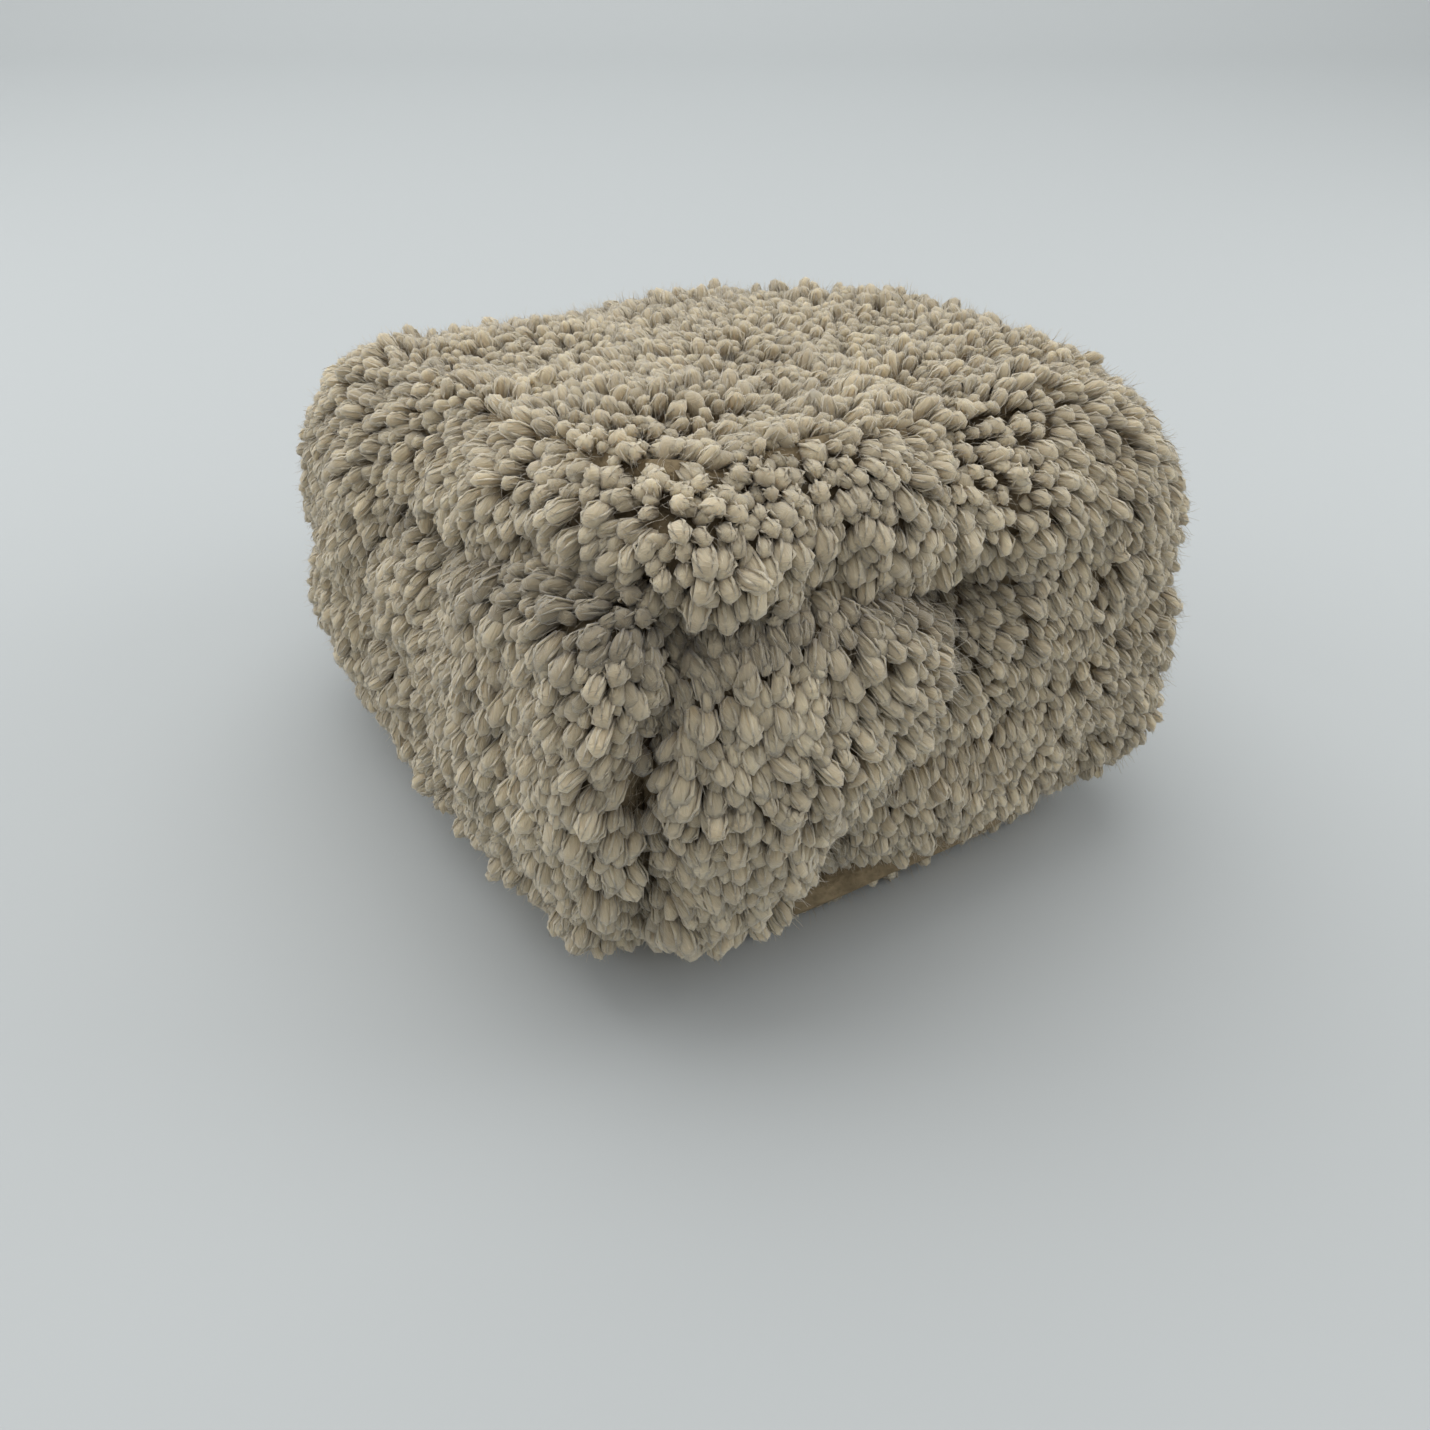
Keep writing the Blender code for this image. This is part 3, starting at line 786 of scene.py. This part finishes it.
def build_wool():
    """Thousands of curled locks on the four panels, with shorter plain ones between them."""
    rng = np.random.default_rng(7)
    bm, growth = wool_surface(ROOT_DEPTH)
    for layer, spacing, share, shade, strands, most in PILE_LAYERS:
        places, directions = scatter(bm, growth, settings().lock_spacing * spacing, rng)
        points = (places - ROOT_Y) / MILLIMETRE
        bare = (line_distance(points, CLOSING_FOLD) < 1.3) | (line_distance(points, CRUMB) < 4.2)
        keep = ~at_opening(places, 0.0010) & ~bare
        places, directions, points = places[keep], directions[keep], points[keep]
        shapes = [shape_arrays(lock_shape(rng, strands)) for _ in range(8)]
        count = len(places)
        choice = rng.integers(0, len(shapes), count)
        sizes = lock_sizes(points, directions, rng) * (1, 1, share)
        turns = rotations(comb(places, directions, rng), rng)
        # Painted shade: each lock's random tone is darkened in the folds, and the under locks start darker as painted
        # shade deep in the pile.
        tone_and_painted_shade = np.clip(rng.normal(shade, 0.15, count) - 0.75 * crease(points), 0, 1)
        facts = np.stack([tone_and_painted_shade, rng.random(count)], axis=1)
        panel = panel_of(places)
        for index, name in enumerate(PANELS):
            mine = np.flatnonzero(panel == index)
            for number, part in enumerate(np.array_split(mine, math.ceil(len(mine) / most)), 1):
                piece_name = f"{name}_{layer}_{number}"
                mesh = copies_mesh(
                    piece_name, shapes, choice[part], turns[part], sizes[part], places[part], facts[part],
                    PRESSED)
                add_piece(piece_name, mesh, "cream_wool")
    bm.free()


def lock_sizes(points, directions, rng):
    """Each lock's width, width and length: larger near the front left corner, smaller on top, short
    in the folds, against the floor and beside the right flap."""
    count = len(points)
    top = smooth_step(directions[:, 2], 0.4, 0.9)
    near = np.exp(-((points[:, 0] + 60) / 60) ** 2 - ((points[:, 1] + 80) / 60) ** 2)
    folds = np.minimum(line_distance(points, OVERHANG_FOLD), line_distance(points, CLOSING_FOLD))
    short = 1 - 0.40 * np.exp(-(folds / 4.5) ** 2)
    short *= 0.66 + 0.34 * smooth_step(points[:, 2], 0, 14)
    inside, facing = flap_inside(points)
    beside = facing * smooth_step(-inside, 2, 8) * smooth_step(60 + points[:, 0], 0, 10)
    scale = (0.95 + 0.14 * near - 0.08 * top - 0.10 * beside) * rng.uniform(0.78, 1.22, count)
    length = settings().lock_length * scale * short * rng.uniform(0.88, 1.15, count)
    width = settings().lock_width * scale * rng.uniform(0.85, 1.15, count)
    return np.stack([width, width, length], axis=1)


def build_fuzz():
    """Loose fibres that stand out of the locks, longest along the right flap's free edge."""
    rng = np.random.default_rng(11)
    bm, growth = wool_surface(0.0022)
    places, directions = scatter(bm, growth, 0.00125, rng)
    bm.free()
    keep = ~at_opening(places, 0.004) & (places[:, 2] > 0.003)
    places, directions = places[keep], directions[keep]
    forward = comb(places, directions, rng) + rng.normal(scale=0.34, size=places.shape)
    forward /= np.linalg.norm(forward, axis=1)[:, None]
    shapes = [shape_arrays(hair_shape(rng)) for _ in range(10)]
    count = len(places)
    points = (places - ROOT_Y) / MILLIMETRE
    inside, facing = flap_inside(points)
    fringe = facing * np.exp(-((inside - 1) / 3) ** 2)
    length = rng.uniform(0.0022, 0.0042, count) * (1 + 1.0 * fringe)
    sizes = np.repeat(length[:, None], 3, axis=1)
    facts = np.stack([rng.uniform(0.5, 1.0, count), rng.random(count)], axis=1)
    choice = rng.integers(0, len(shapes), count)
    turns = rotations(forward, rng)
    groups = np.array_split(np.arange(count), math.ceil(count / FIBRES_IN_A_PIECE))
    for number, part in enumerate(groups, 1):
        name = f"loose_fibres_{number}"
        mesh = copies_mesh(
            name, shapes, choice[part], turns[part], sizes[part], places[part], facts[part], PRESSED)
        add_piece(name, mesh, "cream_wool")


FIBRES_IN_A_PIECE = 13000
FIBRE_THINNESS = 0.032  # a fibre's width against its length


def hair_shape(rng):
    """One loose fibre: a thin three-sided taper, a unit long along +Z and bent sideways."""
    bm = bmesh.new()
    bmesh.ops.create_cone(bm, cap_ends=True, segments=3, radius1=0.5, radius2=0.2, depth=1)
    bmesh.ops.translate(bm, vec=(0, 0, 0.5), verts=bm.verts)
    upright = [edge for edge in bm.edges if abs(edge.verts[0].co.z - edge.verts[1].co.z) > 0.5]
    bmesh.ops.subdivide_edges(bm, edges=upright, cuts=1)
    layer = bm.loops.layers.uv.new("lock_map")
    bend, curl = rng.uniform(-0.6, 0.6), rng.uniform(-0.15, 0.15)
    for face in bm.faces:
        for loop in face.loops:
            loop[layer].uv = (loop.vert.co.x + 0.5, loop.vert.co.z)
    for vert in bm.verts:
        along = vert.co.z
        vert.co.x = vert.co.x * FIBRE_THINNESS + bend * along * along + curl * math.sin(math.tau * along)
        vert.co.y *= FIBRE_THINNESS
    return bm


def build_foam():
    """The foam pads and strips, with soft edges, and the crumb of foam that shows between the flaps."""
    for node in FOAM_NODES:
        bm = bmesh.new()
        bm.from_mesh(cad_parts[node].data)
        bmesh.ops.remove_doubles(bm, verts=bm.verts, dist=1e-5)
        if node == "upper_foam_pad":
            add_crumb(bm)
        piece = add_piece(f"{node}_foam", mesh_from(bm, f"{node}_foam"), "amber_foam", (node,))
        remesh = piece.modifiers.new("even faces", "REMESH")
        remesh.mode = "VOXEL"
        remesh.voxel_size = 0.0016
        remesh.use_smooth_shade = True
        relax = piece.modifiers.new("soft edges", "SMOOTH")
        relax.factor = 0.5
        relax.iterations = 4


FOAM_NODES = ("upper_foam_pad", "lower_foam_pad", "foam_strip_left", "foam_strip_right", "foam_strip_front")


def add_crumb(bm):
    """A tongue of foam that the closing seam squeezes out between the flaps."""
    made = bmesh.ops.create_icosphere(bm, subdivisions=2, radius=1)["verts"]
    bmesh.ops.scale(bm, vec=(0.0022, 0.0150, 0.0040), verts=made)
    turn = Matrix.Rotation(math.radians(-41), 4, "Z")
    bmesh.ops.rotate(bm, verts=made, cent=(0, 0, 0), matrix=turn)
    bmesh.ops.translate(bm, verts=made, vec=(-0.0572, MIDDLE_Y - 0.0707, 0.0640))


# ---------------------------------------------------------------- the hand opening

def oval_line(half_width, half_height, count):
    """Evenly spaced points of the opening's flat oval, each with its outward direction, in X and Z."""
    turn = np.linspace(0, math.tau, 2001)
    cosine, sine = np.cos(turn), np.sin(turn)
    x = np.sign(cosine) * np.abs(cosine) ** (2 / OPENING_POWER) * half_width
    z = np.sign(sine) * np.abs(sine) ** (2 / OPENING_POWER) * half_height
    length = np.concatenate([[0], np.cumsum(np.hypot(np.diff(x), np.diff(z)))])
    even = np.linspace(0, length[-1], count, endpoint=False)
    line = np.stack([np.interp(even, length, x), np.interp(even, length, z)], axis=1)
    ahead = np.roll(line, -2, axis=0) - np.roll(line, 2, axis=0)
    outward = np.stack([ahead[:, 1], -ahead[:, 0]], axis=1)
    outward /= np.linalg.norm(outward, axis=1)[:, None]
    return line, outward


def ring_mesh(name, line, outward, section, relief=None, around=1.0):
    """A band swept round the oval: section lists (outward, y, row) points of its closed outline, and
    relief(share round, section index) adds to how far out a point stands."""
    count = len(line)
    bm = bmesh.new()
    bmesh.ops.create_circle(bm, segments=count, radius=1)
    ring = bm.edges[:]
    for _ in section:
        made = bmesh.ops.extrude_edge_only(bm, edges=ring)["geom"]
        verts = [item for item in made if isinstance(item, bmesh.types.BMVert)]
        bmesh.ops.translate(bm, vec=(0, 0, 1), verts=verts)
        ring = [item for item in made if isinstance(item, bmesh.types.BMEdge) and item.is_boundary]
    stitches = bm.loops.layers.uv.new("stitch_map")
    for face in bm.faces:
        shares = [(math.atan2(loop.vert.co.y, loop.vert.co.x) / math.tau) % 1 for loop in face.loops]
        wrapped = max(shares) - min(shares) > 0.5
        for loop, share in zip(face.loops, shares):
            row = section[round(loop.vert.co.z) % len(section)][2]
            loop[stitches].uv = ((share + 1 if wrapped and share < 0.5 else share) * around, row)
    for vert in bm.verts:
        share = (math.atan2(vert.co.y, vert.co.x) / math.tau) % 1
        index = round(share * count) % count
        step = round(vert.co.z) % len(section)
        out, y, _ = section[step]
        if relief:
            out += relief(share, step)
        place = line[index] + outward[index] * out
        vert.co = (place[0], y, OPENING_Z + place[1])
    bmesh.ops.remove_doubles(bm, verts=bm.verts, dist=1e-6)
    bmesh.ops.recalc_face_normals(bm, faces=bm.faces)
    return mesh_from(bm, name)


def build_cuff():
    """The ribbed cuff, folded over at its tip, with the elastic inside the fold."""
    ribs = settings().ribs
    base, tip = CUFF_LOW[1], CUFF_HIGH[1]
    half_width, half_height = (CUFF_HIGH[0] - CUFF_LOW[0]) / 2, (CUFF_HIGH[2] - CUFF_LOW[2]) / 2
    line, outward = oval_line(half_width, half_height, ribs * 6)
    steps, wall, fold = 16, 0.0016, 0.0022
    spacing = 0.0013
    section = []
    for step in range(steps + 1):
        share = step / steps
        section.append((-0.0012 * share ** 2, base + (tip - fold - base) * share, (tip - base) * share / spacing))
    for step in range(1, 8):
        turn = math.pi * step / 8
        depth = -0.0012 - fold * (1 - math.cos(turn))
        section.append((depth, tip - fold + fold * math.sin(turn), (tip - base + step * 0.0005) / spacing))
    for step in range(steps + 1):
        share = 1 - step / steps
        depth = -0.0012 * share ** 2 - 2 * fold
        section.append((depth, base + (tip - fold - base) * share, (tip - base) * (2 - share) / spacing))
    hollow = len(section)
    for step in range(steps + 1):
        share = step / steps
        depth = -0.0012 * share ** 2 - 2 * fold + wall
        section.append((depth, base + (tip - 2 * fold - base) * share, (tip - base) * (1 - share) / spacing))
    for step in range(steps + 1):
        share = 1 - step / steps
        section.append((-0.0012 * share ** 2 - wall, base + (tip - 2 * fold - base) * share, (tip - base) * share / spacing))

    def relief(share, step):
        if step >= hollow:
            return 0.0
        rib = 0.5 + 0.5 * math.cos(math.tau * ribs * share)
        gather = 0.0005 * math.sin(math.tau * 11 * share) + 0.0003 * math.sin(math.tau * 23 * share + 1.3)
        inward = step > hollow / 2
        reach = abs(section[step][1] - base) / (tip - base)
        return gather * reach + (0.0009 * (rib ** 0.6 - 1) if not inward else -0.0007 * rib ** 0.6)

    mesh = ring_mesh("rib_cuff_knit", line, outward, section, relief, around=ribs * 2)
    add_piece("rib_cuff_knit", mesh, "rib_knit", ("rib_cuff",))
    inner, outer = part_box("cuff_elastic")
    line, outward = oval_line((outer[0] - inner[0]) / 2, (outer[2] - inner[2]) / 2, 240)
    middle, half = (inner[1] + outer[1]) / 2, (outer[1] - inner[1]) / 2 - 0.0006
    band = []
    for step in range(9):
        y = middle - half + 2 * half * step / 8
        band.append((-0.0011 + 0.0001 * (step % 2), y, step))
    for step in range(9):
        y = middle + half - 2 * half * step / 8
        band.append((-0.0017 - 0.0001 * (step % 2), y, step))
    mesh = ring_mesh("cuff_elastic_band", line, outward, band, around=240)
    add_piece("cuff_elastic_band", mesh, "elastic_knit", ("cuff_elastic",))


def build_binding():
    """The tape folded over the pelts' edge around the opening, slightly puckered by its stitches."""
    half_width = (BINDING_HIGH[0] - BINDING_LOW[0]) / 2
    half_height = (BINDING_HIGH[2] - BINDING_LOW[2]) / 2
    line, outward = oval_line(half_width, half_height, 360)
    base, tip = BINDING_LOW[1], BINDING_HIGH[1]
    section = [(0.0, base + (tip - base) * step / 8, step * 2) for step in range(8)]
    for step in range(7):
        turn = math.pi * step / 6
        section.append((-0.0007 * (1 - math.cos(turn)), tip + 0.0009 * math.sin(turn), 18 + step))
    section += [(-0.0014, tip - (tip - base) * step / 8, 26 + step * 2) for step in range(1, 9)]

    def pucker(share, step):
        return 0.00022 * math.sin(math.tau * 74 * share) * min(1.0, step / 8)

    mesh = ring_mesh("opening_binding_tape", line, outward, section, pucker, around=240)
    add_piece("opening_binding_tape", mesh, "binding_tape", ("opening_binding",))


def build_lining():
    """The cloth pouch for the hand: creased, slightly crowned, hemmed at its mouth."""
    size, middle = LINING_HIGH - LINING_LOW, (LINING_HIGH + LINING_LOW) / 2
    bm = bmesh.new()
    bmesh.ops.create_cube(bm, size=2)
    bmesh.ops.subdivide_edges(bm, edges=bm.edges, cuts=35, use_grid_fill=True)
    mouth = [face for face in bm.faces if face.calc_center_median().y > 0.999]
    bmesh.ops.delete(bm, geom=mouth, context="FACES")
    for vert in bm.verts:
        x, y, z = vert.co
        rounded = (abs(x) ** 6 + abs(z) ** 6) ** (1 / 6) / max(abs(x), abs(z), 1e-9)
        front = 1 - 0.16 * max(0.0, -y - 0.75) ** 2 * 16
        vert.co.x = x / rounded * front
        vert.co.z = z / rounded * (1 - 0.10 * max(0.0, -y - 0.8) * 5)
    bm.normal_update()
    half = size / 2 - np.array((0.0006, 0.0002, 0.0006))
    for vert in bm.verts:
        vert.co = Vector(np.array(vert.co[:]) * half + middle)
    bm.normal_update()
    for vert in bm.verts:
        crease = noise.noise(Vector((vert.co.x * 55, vert.co.y * 22, vert.co.z * 55 + 4)))
        fine = noise.noise(Vector((vert.co.x * 160, vert.co.y * 70, vert.co.z * 160)))
        inset = 0.0009 + 0.0011 * crease + 0.0004 * fine
        vert.co -= vert.normal * max(0.0, inset)
    bmesh.ops.smooth_vert(bm, verts=bm.verts, factor=0.5, use_axis_x=True, use_axis_y=True, use_axis_z=True)
    pouch = add_piece("pocket_lining_cloth", mesh_from(bm, "pocket_lining_cloth"), "lining_cloth", ("pocket_lining",))
    wall = pouch.modifiers.new("cloth", "SOLIDIFY")
    wall.thickness = 0.0008
    wall.offset = -1


# ---------------------------------------------------------------- stitching

def stitch_shape():
    """One stitch: a short plump run of thread along +Z, a unit long and a unit thick."""
    bm = bmesh.new()
    bmesh.ops.create_uvsphere(bm, u_segments=8, v_segments=6, radius=0.5)
    layer = bm.loops.layers.uv.new("lock_map")
    for face in bm.faces:
        for loop in face.loops:
            loop[layer].uv = (loop.vert.co.x + 0.5, loop.vert.co.z + 0.5)
    for vert in bm.verts:
        vert.co.x += 0.35 * (0.25 - vert.co.z ** 2)
        vert.co.z += 0.5
    return shape_arrays(bm)


def sew(name, path, outward, pitch, thickness, node):
    """A row of stitches along a path of points, each bulging outward."""
    path, outward = np.array(path), np.array(outward)
    length = np.concatenate([[0], np.cumsum(np.linalg.norm(np.diff(path, axis=0), axis=1))])
    count = int(length[-1] / pitch)
    starts = np.linspace(0, length[-1], count, endpoint=False)
    ends = starts + 0.82 * length[-1] / count
    first = np.stack([np.interp(starts, length, path[:, i]) for i in range(3)], axis=1)
    last = np.stack([np.interp(ends, length, path[:, i]) for i in range(3)], axis=1)
    out = np.stack([np.interp(starts, length, outward[:, i]) for i in range(3)], axis=1)
    run = last - first
    size = np.linalg.norm(run, axis=1)
    forward = run / size[:, None]
    out -= forward * (out * forward).sum(axis=1)[:, None]
    out /= np.linalg.norm(out, axis=1)[:, None]
    turns = np.stack([out, np.cross(forward, out), forward], axis=2)
    sizes = np.stack([np.full(count, thickness), np.full(count, thickness), size], axis=1)
    facts = np.full((count, 2), 0.5)
    mesh = copies_mesh(name, [stitch_shape()], np.zeros(count, int), turns, sizes, first, facts, 0)
    add_piece(name, mesh, "sewing_thread", (node,))


def build_stitches():
    """The cuff's, the side seam's and the corner closure's rows of stitches."""
    low, high = (np.array(corner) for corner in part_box("cuff_thread"))
    line, outward = oval_line((high[0] - low[0]) / 2 - 0.0004, (high[2] - low[2]) / 2 - 0.0004, 400)
    ring = np.stack([line[:, 0], np.full(len(line), (low[1] + high[1]) / 2 + 0.0006), OPENING_Z + line[:, 1]], axis=1)
    out = np.stack([outward[:, 0], np.full(len(line), 0.4), outward[:, 1]], axis=1)
    sew("cuff_stitches", np.concatenate([ring, ring[:1]]), np.concatenate([out, out[:1]]), 0.0030, 0.0008, "cuff_thread")
    low, high = (np.array(corner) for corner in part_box("side_seam_thread"))
    turn = np.radians(np.linspace(150, 390, 400))
    x = np.sign(np.cos(turn)) * np.abs(np.cos(turn)) ** (2 / PLAN_POWER) * (high[0] - low[0]) / 2
    reach = MIDDLE_Y - low[1] - 0.0004
    y = MIDDLE_Y + np.sign(np.sin(turn)) * np.abs(np.sin(turn)) ** (2 / PLAN_POWER) * reach
    seam = np.stack([x, y, np.full(len(turn), (low[2] + high[2]) / 2)], axis=1)
    sew("side_seam_stitches", seam, seam - (0, MIDDLE_Y, seam[0, 2]), 0.0032, 0.0009, "side_seam_thread")
    low, high = (np.array(corner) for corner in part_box("closing_seam_thread"))
    rungs = 19
    laces = [(low if step % 2 else high)[:2] for step in range(rungs)]
    heights = np.linspace(low[2], high[2], rungs)
    lacing = [(*lace, height) for lace, height in zip(laces, heights)]
    sew("closing_seam_stitches", lacing, np.tile((-0.7, 0.7, 0.1), (rungs, 1)), 0.0028, 0.0009, "closing_seam_thread")


# ---------------------------------------------------------------- the stage

def build_stage():
    """Floor with a swept backdrop, soft light from above, and the camera."""
    bm = bmesh.new()
    half, back, bend, rise = 3.0, 0.95, 0.35, 2.5
    profile = [(-3.0, 0.0), (back, 0.0)]
    profile += [(back + bend * math.sin(a), bend * (1 - math.cos(a))) for a in np.linspace(0.1, math.pi / 2, 14)]
    profile.append((back + bend, rise))
    verts = [bm.verts.new((-half, y, z)) for y, z in profile]
    edges = [bm.edges.new(pair) for pair in zip(verts, verts[1:])]
    made = bmesh.ops.extrude_edge_only(bm, edges=edges)["geom"]
    side = [item for item in made if isinstance(item, bmesh.types.BMVert)]
    bmesh.ops.translate(bm, vec=(2 * half, 0, 0), verts=side)
    bmesh.ops.recalc_face_normals(bm, faces=bm.faces)
    for face in bm.faces:
        if face.calc_center_median().z < 1e-6 and face.normal.z < 0:
            bmesh.ops.reverse_faces(bm, faces=bm.faces)
            break
    turn = Matrix.Rotation(-CAMERA_YAW, 3, "Z")
    bmesh.ops.rotate(bm, verts=bm.verts, cent=(0, 0, 0), matrix=turn)
    mesh = mesh_from(bm, "floor")
    made, nodes, shader = new_material("pale_floor", 0.75)
    shader.inputs["Base Color"].default_value = (*settings().floor_colour, 1)
    mesh.materials.append(made)
    floor = bpy.data.objects.new("floor", mesh)
    bpy.context.scene.collection.objects.link(floor)
    floor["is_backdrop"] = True

    world = bpy.data.worlds.new("studio")
    world.use_nodes = True
    background = world.node_tree.nodes["Background"]
    background.inputs["Color"].default_value = (1.0, 1.0, 1.0, 1)
    background.inputs["Strength"].default_value = WORLD_LIGHT
    bpy.context.scene.world = world
    for name, place, target, size, power in LAMPS:
        light = bpy.data.lights.new(name, "AREA")
        light.shape = "RECTANGLE"
        light.size, light.size_y = size
        light.energy = power
        lamp = bpy.data.objects.new(name, light)
        lamp.location = place
        lamp.rotation_euler = (Vector(target) - Vector(place)).to_track_quat("-Z", "Y").to_euler()
        bpy.context.scene.collection.objects.link(lamp)

    camera = bpy.data.cameras.new("camera")
    camera.lens = CAMERA_LENS
    camera.sensor_width = 36.0
    camera.clip_start = 0.01
    viewer = bpy.data.objects.new("camera", camera)
    viewer.location = Vector(CAMERA_PLACE) * HEIGHT + Vector(ROOT_Y)
    viewer.rotation_euler = (math.radians(90) - CAMERA_PITCH, 0, -CAMERA_YAW)
    bpy.context.scene.collection.objects.link(viewer)
    bpy.context.scene.camera = viewer
    bpy.context.scene.view_settings.view_transform = "Standard"


CAMERA_LENS = 37.8
CAMERA_PITCH = math.radians(33.5)
CAMERA_YAW = math.radians(33.0)
CAMERA_PLACE = (-1.657, -2.559, 2.072)  # in heights of the block, from the middle of its base
WORLD_LIGHT = 0.69
LAMPS = (
    ("softbox", (0.10, 0.50, 1.25), (0, 0, 0.05), (1.8, 1.8), 14.5),
    ("left_fill", (-0.65, 0.55, 0.42), (-0.05, 0.05, 0.02), (0.5, 0.5), 1.7),
    ("right_fill", (0.68, -0.36, 0.42), (0.12, -0.05, 0.0), (0.5, 0.5), 1.8),
)


# ---------------------------------------------------------------- the add-on

def maker(name, label, text, build):
    """An operator that makes one piece or group of like pieces."""

    def execute(self, context):
        build()
        return {"FINISHED"}

    return type(
        f"MITT_OT_{name}", (bpy.types.Operator,),
        {"bl_idname": f"mitt.{name}", "bl_label": label, "bl_options": {"REGISTER", "UNDO"},
         "__doc__": text, "execute": execute})


STEPS = (
    ("stage", "Stage", "Makes the floor, the light and the camera", build_stage),
    ("foam", "Foam core", "Makes the foam pads and strips of the core", build_foam),
    ("lining", "Pocket lining", "Makes the cloth pouch that the hand goes into", build_lining),
    ("cuff", "Ribbed cuff", "Makes the ribbed cuff and the elastic in its fold", build_cuff),
    ("binding", "Opening binding", "Makes the tape around the hand opening", build_binding),
    ("stitches", "Stitching", "Makes the rows of stitches", build_stitches),
    ("hides", "Pelts and flaps", "Makes the underwool and skin of the pelts and corner flaps", build_hides),
    ("wool", "Wool locks", "Grows the curled locks on the pelts and corner flaps", build_wool),
    ("fuzz", "Loose fibres", "Adds the loose fibres that stand out of the locks", build_fuzz),
)
OPERATORS = tuple(maker(*step) for step in STEPS)


class MITT_PT_sidebar(bpy.types.Panel):
    """Lists the mitt's sizes, colours and making steps"""
    bl_idname = "MITT_PT_sidebar"
    bl_label = "Wash mitt"
    bl_space_type = "VIEW_3D"
    bl_region_type = "UI"
    bl_category = "Wash mitt"

    def draw(self, context):
        for name in MittSettings.__annotations__:
            self.layout.prop(context.scene.wash_mitt, name)
        for operator in OPERATORS:
            self.layout.operator(operator.bl_idname)


CLASSES = (MittSettings, *OPERATORS, MITT_PT_sidebar)


def register():
    for kind in CLASSES:
        bpy.utils.register_class(kind)
    bpy.types.Scene.wash_mitt = bpy.props.PointerProperty(type=MittSettings)


def unregister():
    del bpy.types.Scene.wash_mitt
    for kind in reversed(CLASSES):
        bpy.utils.unregister_class(kind)


def main():
    register()
    for name, *_ in STEPS:
        getattr(bpy.ops.mitt, name)()


if __name__ == "__main__":
    main()
